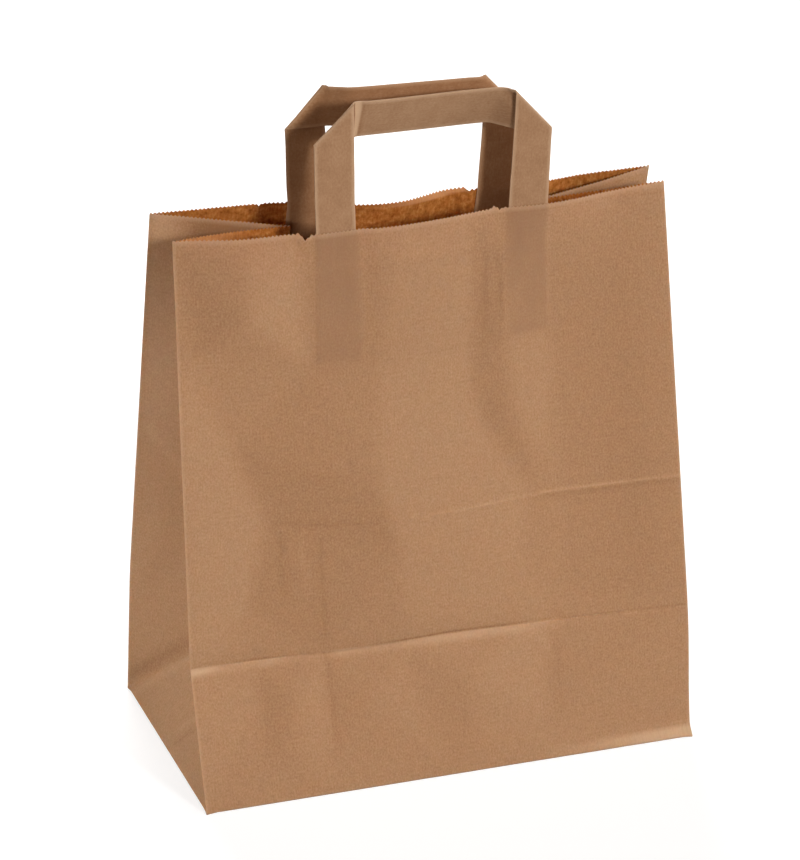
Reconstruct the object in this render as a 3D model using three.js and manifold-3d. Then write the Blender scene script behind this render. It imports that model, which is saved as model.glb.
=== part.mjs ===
// Paper carrier bag: one folded sheet with a block bottom and side gussets, and two flat folded handles, each
// glued inside its panel under a patch. It stands half opened, with the gussets still folded in at the mouth.
// Millimetres. X runs along the front panel, minus Y is the front, Z is up, and the origin is under the
// middle of the bottom.
import * as THREE from "three";
import { mergeVertices } from "three/addons/utils/BufferGeometryUtils.js";
import Module from "manifold-3d";

// Sheet
const WIDTH = 320;
const DEPTH = 175;
const HEIGHT = 350;
const PAPER = 0.15;
const FIT_GAP = 0.3;

// Lean of the upright folds towards the middle, in degrees, below and above the bottom crease
const FRONT_LEFT_LOW = 22;
const FRONT_LEFT_HIGH = 6.6;
const FRONT_RIGHT_LOW = 11.8;
const FRONT_RIGHT_HIGH = 14.7;
const BACK_LEFT_LOW = 6;
const BACK_LEFT_HIGH = 12.2;
const BACK_RIGHT_LOW = 7.8;
const BACK_RIGHT_HIGH = 12.3;

// Swells of the panels towards the front at the mouth: place from the left fold, reach each way and rise
const FRONT_SWELL_PLACE = 128;
const FRONT_SWELL_REACH = 130;
const FRONT_SWELL_RISE = 18;
const FRONT_FLARE_PLACE = 242;
const FRONT_FLARE_REACH = 52;
const FRONT_FLARE_RISE = 9.1;
const FRONT_CORNER_PLACE = 38;
const FRONT_CORNER_REACH = 38;
const FRONT_CORNER_RISE = 5.5;
const BACK_SWELL_PLACE = 140.5;
const BACK_SWELL_REACH = 76;
const BACK_SWELL_RISE = 21;
const BACK_FLARE_PLACE = 222;
const BACK_FLARE_REACH = 48;
const BACK_FLARE_RISE = 15;

// Gussets: tilt of the bottom triangle from upright, slack of the curved halves, bow of the front halves
// towards the back, and drift of the centre folds towards the front
const GUSSET_TILT = 32.5;
const GUSSET_SLACK = 2;
const GUSSET_BOW = 3;
const LEFT_FOLD_DRIFT = -4.5;
const RIGHT_FOLD_DRIFT = 2;

// Glued seam on the back panel, and how gently its free edges step down
const SEAM_LAP = 20;
const SEAM_FROM_FOLD = 30;
const SEAM_STEP = 0.3;

// Bottom: the front flap laps over the back flap, and the folded rim stands proud of both
const FLAP_LAP = 25;
const BOTTOM_RIM = 1.5;
const BOTTOM_PLIES = 3;

// Nicks that the cutting knife leaves in the mouth edge
const NICK_DEPTH = 3;
const NICK_WIDTH = 6;
const NICK_SPACING = 125;
const FRONT_NICK = 78;
const BACK_NICK = 67.5;

// Handles: strips folded flat, with the bar easing away from the legs on the inner side
const STRAP = 25;
const STRAP_THICK = 0.8;
const FOLD_GAP = 0.8;
const BAR_EASE = 12;
const LEG_GLUED = 77;
const LEG_BEND = 15;

// Each handle's outer width at the mouth, its left leg's distance from the left fold and how far the bar's
// edges tip out of plane; then for each leg its rise above the mouth, its lean towards the back and its splay
// outwards, both in degrees, and how far the bar stands off from it
const FRONT_SPAN = 151.5;
const FRONT_LEG_START = 84.3;
const FRONT_BAR_TIP = 5;
const FRONT_LEFT_RISE = 77;
const FRONT_LEFT_LEAN = 4;
const FRONT_LEFT_SPLAY = 0.2;
const FRONT_LEFT_STAND = 6.5;
const FRONT_RIGHT_RISE = 72.5;
const FRONT_RIGHT_LEAN = -3.4;
const FRONT_RIGHT_SPLAY = 0.4;
const FRONT_RIGHT_STAND = 11.5;
const BACK_SPAN = 142.5;
const BACK_LEG_START = 84;
const BACK_BAR_TIP = 2.5;
const BACK_LEFT_RISE = 73;
const BACK_LEFT_LEAN = -2;
const BACK_LEFT_SPLAY = 4.5;
const BACK_LEFT_STAND = 6.5;
const BACK_RIGHT_RISE = 72;
const BACK_RIGHT_LEAN = 0.5;
const BACK_RIGHT_SPLAY = 1.3;
const BACK_RIGHT_STAND = 0.8;

// Patches over the glued legs
const PATCH_DROP = 25;
const PATCH_HEIGHT = 60;
const PATCH_MARGIN = 4;
const PATCH_RAMP = 3;

// Fineness of the faceted sheet
const COLUMN = 8;
const UPPER_ROW = 33;
const GUSSET_STEPS = 4;
const FOLD_STEPS = 4;
const STRAP_STEPS = 3;
const FREE_STEPS = 5;
const BAR_STEPS = 18;
const PATCH_STEPS = 3;

const KRAFT = new THREE.MeshStandardMaterial({ color: 0xb28763, roughness: 0.85, metalness: 0 });
const STRIP_KRAFT = new THREE.MeshStandardMaterial({ color: 0xa47c5b, roughness: 0.85, metalness: 0 });
const PATCH_KRAFT = new THREE.MeshStandardMaterial({ color: 0x9c6a3c, roughness: 0.9, metalness: 0 });

const { degToRad, clamp, lerp, smoothstep } = THREE.MathUtils;
const HALF = DEPTH / 2;
const FLOOR = BOTTOM_PLIES * PAPER;
const ROW = HALF / GUSSET_STEPS;
const wasm = await Module();
wasm.setup();

// Share of the way from the bottom crease up to the mouth
function riseShare(v) {
  return Math.max(0, v - HALF) / (HEIGHT - HALF);
}

// A point at height v along an upright fold that starts at a bottom corner and leans inwards
function uprightFold(x, y, low, high, v) {
  const lower = Math.min(v, HALF);
  const upper = v - lower;
  const run = lower * Math.sin(degToRad(low)) + upper * Math.sin(degToRad(high));
  const rise = lower * Math.cos(degToRad(low)) + upper * Math.cos(degToRad(high));
  return new THREE.Vector3(x, y - Math.sign(y) * run, rise);
}

const front = {
  left: (v) => uprightFold(-WIDTH / 2, -HALF, FRONT_LEFT_LOW, FRONT_LEFT_HIGH, v),
  right: (v) => uprightFold(WIDTH / 2, -HALF, FRONT_RIGHT_LOW, FRONT_RIGHT_HIGH, v),
  swells: [
    { place: FRONT_SWELL_PLACE, reach: FRONT_SWELL_REACH, rise: FRONT_SWELL_RISE },
    { place: FRONT_FLARE_PLACE, reach: FRONT_FLARE_REACH, rise: FRONT_FLARE_RISE },
    { place: FRONT_CORNER_PLACE, reach: FRONT_CORNER_REACH, rise: FRONT_CORNER_RISE },
  ],
  nick: FRONT_NICK,
  handleLeft: FRONT_LEG_START,
  handleRight: FRONT_LEG_START + FRONT_SPAN,
  barTip: FRONT_BAR_TIP,
  leftLeg: {
    rise: FRONT_LEFT_RISE,
    lean: FRONT_LEFT_LEAN,
    splay: FRONT_LEFT_SPLAY,
    stand: FRONT_LEFT_STAND,
  },
  rightLeg: {
    rise: FRONT_RIGHT_RISE,
    lean: FRONT_RIGHT_LEAN,
    splay: FRONT_RIGHT_SPLAY,
    stand: FRONT_RIGHT_STAND,
  },
  inward: -1,
};

const back = {
  left: (v) => uprightFold(-WIDTH / 2, HALF, BACK_LEFT_LOW, BACK_LEFT_HIGH, v),
  right: (v) => uprightFold(WIDTH / 2, HALF, BACK_RIGHT_LOW, BACK_RIGHT_HIGH, v),
  swells: [
    { place: BACK_SWELL_PLACE, reach: BACK_SWELL_REACH, rise: BACK_SWELL_RISE },
    { place: BACK_FLARE_PLACE, reach: BACK_FLARE_REACH, rise: BACK_FLARE_RISE },
  ],
  nick: BACK_NICK,
  handleLeft: BACK_LEG_START,
  handleRight: BACK_LEG_START + BACK_SPAN,
  barTip: BACK_BAR_TIP,
  leftLeg: {
    rise: BACK_LEFT_RISE,
    lean: BACK_LEFT_LEAN,
    splay: BACK_LEFT_SPLAY,
    stand: BACK_LEFT_STAND,
  },
  rightLeg: {
    rise: BACK_RIGHT_RISE,
    lean: BACK_RIGHT_LEAN,
    splay: BACK_RIGHT_SPLAY,
    stand: BACK_RIGHT_STAND,
  },
  inward: 1,
};

// How far a panel stands towards the front at s from its left fold and v up the sheet
function swellAt(panel, s, v) {
  const rises = panel.swells.map(({ place, reach, rise }) => {
    const away = Math.min(1, Math.abs(s - place) / reach);
    return rise * Math.cos((away * Math.PI) / 2) ** 2;
  });
  return riseShare(v) * rises.reduce((sum, rise) => sum + rise, 0);
}

// Outer face of a panel
function panelPoint(panel, s, v) {
  const point = panel.left(v).lerp(panel.right(v), s / WIDTH);
  point.y -= swellAt(panel, s, v);
  return point;
}

// Centre fold of a gusset at the mouth: it keeps its distance to both upright folds and its own length
function mouthApex(side, mitre) {
  const frontTop = side < 0 ? front.left(HEIGHT) : front.right(HEIGHT);
  const backTop = side < 0 ? back.left(HEIGHT) : back.right(HEIGHT);
  const middle = frontTop.clone().lerp(backTop, 0.5);
  const halfMouth = frontTop.distanceTo(backTop) / 2;
  const reach = Math.sqrt((HALF - GUSSET_SLACK) ** 2 - halfMouth ** 2);
  const length = HEIGHT - HALF;
  const across = Math.abs(mitre.x - middle.x);
  const down = middle.z - mitre.z;
  const span = Math.hypot(across, down);
  const along = (reach ** 2 - length ** 2 + span ** 2) / (2 * span);
  const off = Math.sqrt(reach ** 2 - along ** 2);
  const inwards = (along * across + off * down) / span;
  const drop = (along * down - off * across) / span;
  return new THREE.Vector3(middle.x - side * inwards, middle.y, middle.z - drop);
}

function gusset(side, drift) {
  const tilt = degToRad(GUSSET_TILT);
  const mitre = new THREE.Vector3(side * (WIDTH / 2 - HALF * Math.sin(tilt)), 0, HALF * Math.cos(tilt));
  return { side, drift, mitre, apex: mouthApex(side, mitre) };
}

// Outer face of a gusset at s from the upright fold of one panel towards the centre fold, and v up the sheet
function gussetPoint(gusset, panel, s, v) {
  const other = panel === front ? back : front;
  const fold = gusset.side < 0 ? panel.left : panel.right;
  const farFold = gusset.side < 0 ? other.left : other.right;
  const share = s / HALF;
  if (v >= HALF) {
    const centre = gusset.mitre.clone().lerp(gusset.apex, riseShare(v));
    const point = fold(v).lerp(centre, share);
    const bow = panel === front ? 4 * GUSSET_BOW * share * (1 - share) : 0;
    point.y += riseShare(v) * (bow - share * gusset.drift);
    return point;
  }
  const corner = fold(0);
  const toMitre = gusset.mitre.clone().sub(corner);
  if (s <= v) {
    const toCrease = fold(HALF).sub(corner);
    return corner.addScaledVector(toCrease, (v - s) / HALF).addScaledVector(toMitre, share);
  }
  const toFarCorner = farFold(0).sub(corner);
  return corner.addScaledVector(toMitre, v / HALF).addScaledVector(toFarCorner, (s - v) / DEPTH);
}

// Values from the first stop to the last that pass through every stop, at most one step apart
function stations(stops, step) {
  const values = [stops[0]];
  for (let i = 1; i < stops.length; i++) {
    const parts = Math.max(1, Math.ceil((stops[i] - stops[i - 1]) / step));
    for (let k = 1; k <= parts; k++) values.push(lerp(stops[i - 1], stops[i], k / parts));
  }
  return values;
}

// Height of the cut edge at s along a panel, with its two nicks
function mouthHeight(panel, s) {
  const near = [panel.nick, panel.nick + NICK_SPACING].map((nick) => Math.abs(s - nick));
  const share = clamp(1 - Math.min(...near) / (NICK_WIDTH / 2), 0, 1);
  return HEIGHT - NICK_DEPTH * share;
}

function nickStops(panel) {
  const nicks = [panel.nick, panel.nick + NICK_SPACING];
  return nicks.flatMap((nick) => [nick - NICK_WIDTH / 2, nick, nick + NICK_WIDTH / 2]);
}

const SEAM_END = WIDTH - SEAM_FROM_FOLD;
const SEAM_START = SEAM_END - SEAM_LAP;

// The upright lines of the folded tube, once round from the front left fold, seen from above anticlockwise
function tubeLines() {
  const lines = [];
  const leftGusset = gusset(-1, LEFT_FOLD_DRIFT);
  const rightGusset = gusset(1, RIGHT_FOLD_DRIFT);
  const addPanelLine = (panel, s, seam) => {
    const top = mouthHeight(panel, s);
    lines.push({ at: (v) => panelPoint(panel, s, Math.min(v, top)), seam, flip: false });
  };
  const addGussetLine = (side, panel, s, flip) => {
    lines.push({ at: (v) => gussetPoint(side, panel, s, v), seam: false, flip });
  };
  for (const s of stations([0, ...nickStops(front), WIDTH], COLUMN)) addPanelLine(front, s, false);
  for (let k = 1; k <= GUSSET_STEPS; k++) addGussetLine(rightGusset, front, k * ROW, k === GUSSET_STEPS);
  for (let k = GUSSET_STEPS - 1; k >= 1; k--) addGussetLine(rightGusset, back, k * ROW, true);
  const seamStops = [SEAM_START - SEAM_STEP, SEAM_START, SEAM_END, SEAM_END + SEAM_STEP];
  const backStops = [0, ...nickStops(back), ...seamStops, WIDTH].sort((a, b) => a - b);
  const inSeam = (s) => s >= SEAM_START && s <= SEAM_END;
  for (const s of stations(backStops, COLUMN).reverse()) addPanelLine(back, s, inSeam(s));
  for (let k = 1; k <= GUSSET_STEPS; k++) addGussetLine(leftGusset, back, k * ROW, k === GUSSET_STEPS);
  for (let k = GUSSET_STEPS - 1; k >= 1; k--) addGussetLine(leftGusset, front, k * ROW, true);
  return lines;
}

function triangleNormal(points, [a, b, c]) {
  const ab = points[b].clone().sub(points[a]);
  const ac = points[c].clone().sub(points[a]);
  return ab.cross(ac).normalize();
}

// Step from each vertex to the other face of a sheet: the same thickness from every facet that meets there
function thicknessSteps(points, triangles, thickness) {
  const EASE = 1e-3;
  const start = () => ({ square: new THREE.Matrix3().multiplyScalar(EASE), normal: new THREE.Vector3() });
  const sums = points.map(start);
  for (const triangle of triangles) {
    const n = triangleNormal(points, triangle);
    const square = n.toArray().flatMap((row) => n.clone().multiplyScalar(row).toArray());
    for (const corner of triangle) {
      sums[corner].normal.add(n);
      square.forEach((value, i) => (sums[corner].square.elements[i] += value));
    }
  }
  return sums.map(({ square, normal }) => normal.multiplyScalar(-thickness).applyMatrix3(square.invert()));
}

// One closed body from its points and triangles, facing out
function closedGeometry(points, triangles) {
  const wedge = ([a, b, c]) => points[a].dot(points[b].clone().cross(points[c]));
  const volume = triangles.reduce((sum, triangle) => sum + wedge(triangle), 0);
  const facing = volume < 0 ? triangles.map(([a, b, c]) => [a, c, b]) : triangles;
  const geometry = new THREE.BufferGeometry().setFromPoints(points);
  return geometry.setIndex(facing.flat());
}

// The folded sheet as a thin shell: outer and inner walls, the mouth's cut edge and the bottom
function sheetGeometry() {
  const lines = tubeLines();
  const count = lines.length;
  const rows = [...stations([0, HALF], ROW), ...stations([HALF, HEIGHT], UPPER_ROW).slice(1)];
  const outer = rows.flatMap((v) => lines.map((line) => line.at(v)));
  const index = (row, line) => row * count + (line % count);
  const walls = [];
  for (let row = 0; row + 1 < rows.length; row++) {
    for (let line = 0; line < count; line++) {
      const low = [index(row, line), index(row, line + 1)];
      const high = [index(row + 1, line), index(row + 1, line + 1)];
      if (lines[line].flip) walls.push([low[0], low[1], high[0]], [low[1], high[1], high[0]]);
      else walls.push([low[0], low[1], high[1]], [low[0], high[1], high[0]]);
    }
  }
  const steps = thicknessSteps(outer, walls, PAPER);
  const inner = outer.map((point, i) => point.clone().add(steps[i]));
  for (let line = 0; line < count; line++) inner[line].z = FLOOR;
  outer.forEach((point, i) => {
    if (i >= count && lines[i % count].seam) point.sub(steps[i]);
  });
  const points = [...outer, ...inner, new THREE.Vector3(0, 0, 0), new THREE.Vector3(0, 0, FLOOR)];
  const inside = outer.length;
  const under = points.length - 2;
  const floor = points.length - 1;
  const triangles = [...walls, ...walls.map(([a, b, c]) => [inside + a, inside + c, inside + b])];
  const top = rows.length - 1;
  for (let line = 0; line < count; line++) {
    const [a, b] = [index(0, line), index(0, line + 1)];
    const [c, d] = [index(top, line), index(top, line + 1)];
    triangles.push([under, b, a], [floor, inside + a, inside + b]);
    triangles.push([c, d, inside + d], [c, inside + d, inside + c]);
  }
  return closedGeometry(points, triangles);
}

function solidOf(geometry) {
  const bare = geometry.clone();
  for (const name of Object.keys(bare.attributes)) {
    if (name !== "position") bare.deleteAttribute(name);
  }
  const merged = mergeVertices(bare);
  const triVerts = new Uint32Array(merged.index.array);
  const vertProperties = new Float32Array(merged.attributes.position.array);
  return new wasm.Manifold(new wasm.Mesh({ numProp: 3, vertProperties, triVerts }));
}

function geometryOf(solid) {
  const mesh = solid.getMesh();
  const geometry = new THREE.BufferGeometry();
  geometry.setAttribute("position", new THREE.BufferAttribute(mesh.vertProperties, 3));
  return geometry.setIndex(new THREE.BufferAttribute(mesh.triVerts, 1));
}

// A shallow recess from below the bottom, this many plies deep
function bottomRecess(corners, plies) {
  const BELOW = 1;
  const shape = new THREE.Shape(corners.map(([x, y]) => new THREE.Vector2(x, y)));
  const geometry = new THREE.ExtrudeGeometry(shape, { depth: BELOW + plies * PAPER, bevelEnabled: false });
  return solidOf(geometry.translate(0, 0, -BELOW));
}

// The bottom's plies: side triangles lie two plies up, the back flap one, and the front flap laps over it
function bottomRecesses() {
  const sideEnd = HALF - BOTTOM_RIM;
  const outerEdge = WIDTH / 2 - BOTTOM_RIM;
  const tip = WIDTH / 2 - HALF;
  const lap = FLAP_LAP / 2;
  const backFlap = [
    [-outerEdge + BOTTOM_RIM, sideEnd],
    [-tip, BOTTOM_RIM],
    [-tip + lap, lap],
    [tip - lap, lap],
    [tip, BOTTOM_RIM],
    [outerEdge - BOTTOM_RIM, sideEnd],
  ];
  const sides = [-1, 1].map((side) => [
    [side * outerEdge, -sideEnd + 2 * BOTTOM_RIM],
    [side * outerEdge, sideEnd - 2 * BOTTOM_RIM],
    [side * (tip + 2 * BOTTOM_RIM), 0],
  ]);
  return [bottomRecess(backFlap, 1), ...sides.map((corners) => bottomRecess(corners, 2))];
}

function bagBody() {
  const shell = bottomRecesses().reduce((body, recess) => body.subtract(recess), solidOf(sheetGeometry()));
  return geometryOf(shell);
}

// Outer face of a panel below the mouth, and above it the sheet that the handle's strip is laid on
function handleSheet(panel, s, v) {
  if (v <= HEIGHT) return panelPoint(panel, s, v);
  const leftLeg = panel.handleLeft + STRAP / 2;
  const rightLeg = panel.handleRight - STRAP / 2;
  const share = (s - leftLeg) / (rightLeg - leftLeg);
  const bent = smoothstep(v, HEIGHT, HEIGHT + LEG_BEND);
  const chord = panelPoint(panel, leftLeg, HEIGHT).lerp(panelPoint(panel, rightLeg, HEIGHT), share);
  const point = panelPoint(panel, s, HEIGHT).lerp(chord, bent);
  const lean = degToRad(lerp(panel.leftLeg.lean, panel.rightLeg.lean, share));
  point.y += (v - HEIGHT) * Math.sin(lean);
  point.z += (v - HEIGHT) * Math.cos(lean);
  return point;
}

// A point this deep inside the outer face of a panel or of its handle's sheet
function insidePanel(panel, s, v, depth) {
  const PROBE = 0.5;
  const across = handleSheet(panel, s + PROBE, v).sub(handleSheet(panel, s - PROBE, v));
  const upwards = handleSheet(panel, s, v + PROBE).sub(handleSheet(panel, s, v - PROBE));
  const normal = across.cross(upwards).normalize();
  return handleSheet(panel, s, v).addScaledVector(normal, panel.inward * depth);
}

// A closed slab between two faces, given as cross sections that each hold one row of points per face
function slabGeometry(sections) {
  const width = sections[0].face.length;
  const points = sections.flatMap(({ face, reverse }) => [...face, ...reverse.toReversed()]);
  const ring = 2 * width;
  const triangles = [];
  for (let k = 0; k + 1 < sections.length; k++) {
    for (let i = 0; i < ring; i++) {
      const [a, b] = [k * ring + i, k * ring + ((i + 1) % ring)];
      triangles.push([a, b, b + ring], [a, b + ring, a + ring]);
    }
  }
  const last = (sections.length - 1) * ring;
  for (let i = 0; i + 1 < width; i++) {
    const [a, b, c, d] = [i, i + 1, ring - 2 - i, ring - 1 - i];
    triangles.push([a, c, b], [a, d, c]);
    triangles.push([last + a, last + b, last + c], [last + a, last + c, last + d]);
  }
  return closedGeometry(points, triangles);
}

const LEG_FACE = PAPER + FIT_GAP;
const LEG_REVERSE = LEG_FACE + STRAP_THICK;
const FOLD_CENTRE = LEG_REVERSE + FOLD_GAP / 2;

// A handle as one strip: up a leg, round a 45 degree fold, along the bar, round the other fold and down again
function handleGeometry(panel) {
  const across = stations([0, STRAP], STRAP / STRAP_STEPS);
  const splayed = (leg, v) => Math.max(0, v - HEIGHT) * Math.tan(degToRad(leg.splay));
  const left = {
    at: (a, v) => panel.handleLeft + a - splayed(panel.leftLeg, v),
    foldHeight: HEIGHT + panel.leftLeg.rise - STRAP,
  };
  const right = {
    at: (a, v) => panel.handleRight - a + splayed(panel.rightLeg, v),
    foldHeight: HEIGHT + panel.rightLeg.rise - STRAP,
  };
  const sections = [];
  const addSection = (place) => {
    const row = (radius) => across.map((a) => insidePanel(panel, ...place(a, radius)));
    sections.push({ face: row(FOLD_GAP / 2 + STRAP_THICK), reverse: row(FOLD_GAP / 2) });
  };
  const addFold = (leg, turn) =>
    addSection((a, radius) => {
      const out = (radius * Math.sin(turn)) / Math.SQRT2;
      const v = leg.foldHeight + a + out;
      return [leg.at(a - out, v), v, FOLD_CENTRE - radius * Math.cos(turn)];
    });
  const addLegLevel = (leg, height) =>
    addSection((a, radius) => [leg.at(a, height(a)), height(a), FOLD_CENTRE - radius]);
  const levels = (leg) => {
    const glued = stations([HEIGHT - LEG_GLUED, HEIGHT], ROW).map((v) => () => v);
    const free = stations([0, 1], 1 / FREE_STEPS).slice(1, -1);
    return [...glued, ...free.map((t) => (a) => lerp(HEIGHT, leg.foldHeight + a, t))];
  };
  const standOff = (a, s, v) => {
    const [from, to] = [left.at(STRAP, v), right.at(STRAP, v)];
    const stand = lerp(panel.leftLeg.stand, panel.rightLeg.stand, clamp((s - from) / (to - from), 0, 1));
    const tipped = panel.inward * panel.barTip * (2 * (a / STRAP) - 1);
    return (stand + tipped) * smoothstep(Math.min(s - from, to - s), 0, BAR_EASE);
  };
  const addBar = (t) =>
    addSection((a, radius) => {
      const v = lerp(left.foldHeight, right.foldHeight, t) + a;
      const s = lerp(left.at(a, v), right.at(a, v), t);
      return [s, v, FOLD_CENTRE + radius + standOff(a, s, v)];
    });
  const turns = stations([0, Math.PI], Math.PI / FOLD_STEPS);
  levels(left).forEach((height) => addLegLevel(left, height));
  turns.forEach((turn) => addFold(left, turn));
  stations([0, 1], 1 / BAR_STEPS).slice(1, -1).forEach(addBar);
  turns.toReversed().forEach((turn) => addFold(right, turn));
  levels(right).toReversed().forEach((height) => addLegLevel(right, height));
  return slabGeometry(sections);
}

// A patch glued to the panel and draped over both legs of the handle
function patchGeometry(panel) {
  const legs = [
    [panel.handleLeft, panel.handleLeft + STRAP],
    [panel.handleRight - STRAP, panel.handleRight],
  ];
  const overLegs = (s) => {
    const away = Math.min(...legs.map(([from, to]) => Math.max(from - s, s - to, 0)));
    return (STRAP_THICK + FIT_GAP) * clamp(1 - (away - FIT_GAP) / PATCH_RAMP, 0, 1);
  };
  const ramp = FIT_GAP + PATCH_RAMP;
  const edges = legs.flatMap(([from, to]) => [from - ramp, from - FIT_GAP, to + FIT_GAP, to + ramp]);
  const stops = [panel.handleLeft - ramp - PATCH_MARGIN, ...edges, panel.handleRight + ramp + PATCH_MARGIN];
  const top = HEIGHT - PATCH_DROP;
  const heights = stations([top - PATCH_HEIGHT, top], PATCH_HEIGHT / PATCH_STEPS);
  const sections = stations(stops, COLUMN).map((s) => {
    const row = (depth) => heights.map((v) => insidePanel(panel, s, v, depth));
    const depth = LEG_FACE + overLegs(s);
    return { face: row(depth), reverse: row(depth + PAPER) };
  });
  return slabGeometry(sections);
}

function piece(name, geometry, material) {
  const mesh = new THREE.Mesh(geometry, material);
  mesh.name = name;
  return mesh;
}

const bag = new THREE.Group();
bag.add(piece("bag_body", bagBody(), KRAFT));
for (const [name, panel] of Object.entries({ front, back })) {
  bag.add(piece(`${name}_handle`, handleGeometry(panel), STRIP_KRAFT));
  bag.add(piece(`${name}_handle_patch`, patchGeometry(panel), PATCH_KRAFT));
}

export default bag;
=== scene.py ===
"""A brown kraft carrier bag, half opened: folded sheet, glued bottom, two flat handles and their patches.

Every flat piece starts as a flat grid at its cut size, is scored along its folds, and is then folded into place.
Lengths are in metres. X runs along the front panel, minus Y is the front and Z is up.
"""

from __future__ import annotations

import logging
import math
from dataclasses import dataclass, replace
from enum import Enum
from typing import Sequence

import bpy
import numpy as np
from mathutils import Matrix, Vector
from mathutils.geometry import delaunay_2d_cdt

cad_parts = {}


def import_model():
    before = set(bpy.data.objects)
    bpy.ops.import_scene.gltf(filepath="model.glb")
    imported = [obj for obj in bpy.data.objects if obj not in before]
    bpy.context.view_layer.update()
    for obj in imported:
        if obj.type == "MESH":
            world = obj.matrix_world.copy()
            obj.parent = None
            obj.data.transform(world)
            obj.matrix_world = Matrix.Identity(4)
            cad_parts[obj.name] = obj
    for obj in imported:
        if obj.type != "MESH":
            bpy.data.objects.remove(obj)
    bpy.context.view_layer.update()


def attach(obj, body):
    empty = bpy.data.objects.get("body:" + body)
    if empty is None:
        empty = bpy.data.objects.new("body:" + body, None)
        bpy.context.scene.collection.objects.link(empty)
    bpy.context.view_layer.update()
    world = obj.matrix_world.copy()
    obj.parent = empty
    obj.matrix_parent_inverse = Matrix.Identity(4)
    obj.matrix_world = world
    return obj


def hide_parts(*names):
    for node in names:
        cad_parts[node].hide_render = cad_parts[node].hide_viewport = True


LOG = logging.getLogger("carrier_bag")
Array = np.ndarray
ROOT_TWO = math.sqrt(2.0)
# How near points count as on a line or as one point, and how small a triangle counts as none.
ON_LINE = 1e-6
ONE_POINT = 1e-7
NO_AREA = 1e-12
# Where something on a sheet starts, is full, starts to fade and is gone.
Limits = tuple[float, float, float, float]
EVERYWHERE: Limits = (-2.0, -1.0, 2.0, 3.0)
# Turn, share of the longest wave and weight of each of the crossed sines in a wave.
SINES = ((0.4, 1.0, 0.5), (1.9, 0.63, 0.3), (2.7, 0.37, 0.2))
# How far a seed turns and shifts a wave, and how much longer it is across.
SEED_TURN, SEED_SHIFT, WAVE_ACROSS = 0.37, 2.1, 1.7


class Slot(Enum):
    """Material slots of the record."""

    BAG = "bag_kraft"
    HANDLE = "handle_kraft"
    PATCH = "patch_kraft"


class Axis(Enum):
    """Which flat direction a scored line is square to."""

    ALONG = (1.0, 0.0, 0.0)
    UP = (0.0, 1.0, 0.0)
    RISING = (0.7071068, -0.7071068, 0.0)
    FALLING = (0.7071068, 0.7071068, 0.0)


class Element(Enum):
    """What is selected on a sheet."""

    FACE = "FACE"
    EDGE = "EDGE"


class LampKind(Enum):
    """Kinds of lamp in the studio."""

    AREA = "AREA"
    SPOT = "SPOT"


def smooth(value: Array, start: float, end: float) -> Array:
    """Ease from 0 at start to 1 at end.

    Args:
        value: Values to ease.
        start: Where the result is still 0.
        end: Where the result has become 1.

    Returns:
        Eased shares.
    """
    share = np.clip((value - start) / (end - start), 0.0, 1.0)
    return share * share * (3.0 - 2.0 * share)


def mix(first: Array, second: Array, share: Array) -> Array:
    """Blend two arrays by a share of the second."""
    return first + (second - first) * share


def unit(vectors: Array) -> Array:
    """Scale each vector to length one."""
    return vectors / np.linalg.norm(vectors, axis=1, keepdims=True)


def wrapped(offset: Array, girth: float) -> Array:
    """The shorter way round, to either side, on a sheet that meets itself after its girth."""
    return np.mod(offset + girth / 2, girth) - girth / 2


def wave(first: Array, second: Array, length: float, seed: float) -> Array:
    """Slow, irregular waves on a sheet, from crossed sines of unrelated lengths.

    Args:
        first: Places along the sheet.
        second: Places up the sheet.
        length: Longest wave.
        seed: Moves the pattern.

    Returns:
        Heights between about -1 and 1.
    """
    total = np.zeros_like(first)
    for number, (turn, share, weight) in enumerate(SINES):
        angle = turn + SEED_TURN * seed
        along = (first * math.cos(angle) + second * math.sin(angle)) / (length * share)
        across = (second * math.cos(angle) - first * math.sin(angle)) / (length * share * WAVE_ACROSS)
        crest = np.sin(2 * math.pi * along + seed + number)
        total += weight * crest * np.cos(2 * math.pi * across + SEED_SHIFT * seed)
    return total


@dataclass(frozen=True)
class Ease:
    """A stretch over which a share goes between 0 and 1."""

    start: float
    end: float

    def rise(self, value: Array) -> Array:
        """Shares that go from 0 at the start to 1 at the end."""
        return smooth(value, self.start, self.end)

    def fall(self, value: Array) -> Array:
        """Shares that go from 1 at the start to 0 at the end."""
        return 1 - smooth(value, self.start, self.end)

    def within(self, value: Array, low: float, high: float) -> Array:
        """Shares that are 1 between two limits and fall over this stretch outside them."""
        return self.fall(np.maximum(low - value, value - high))


def window(value: Array, limits: Limits) -> Array:
    """Ease in between two limits and out again between two more."""
    return smooth(value, limits[0], limits[1]) * (1 - smooth(value, limits[2], limits[3]))


@dataclass(frozen=True)
class SoftArea:
    """An amount on a part of a sheet, with limits along the sheet and up it or across it."""

    amount: float
    along: Limits = EVERYWHERE
    up: Limits = EVERYWHERE

    def at(self, along: Array, up: Array) -> Array:
        """Amount at each place."""
        return self.amount * window(along, self.along) * window(up, self.up)


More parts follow.
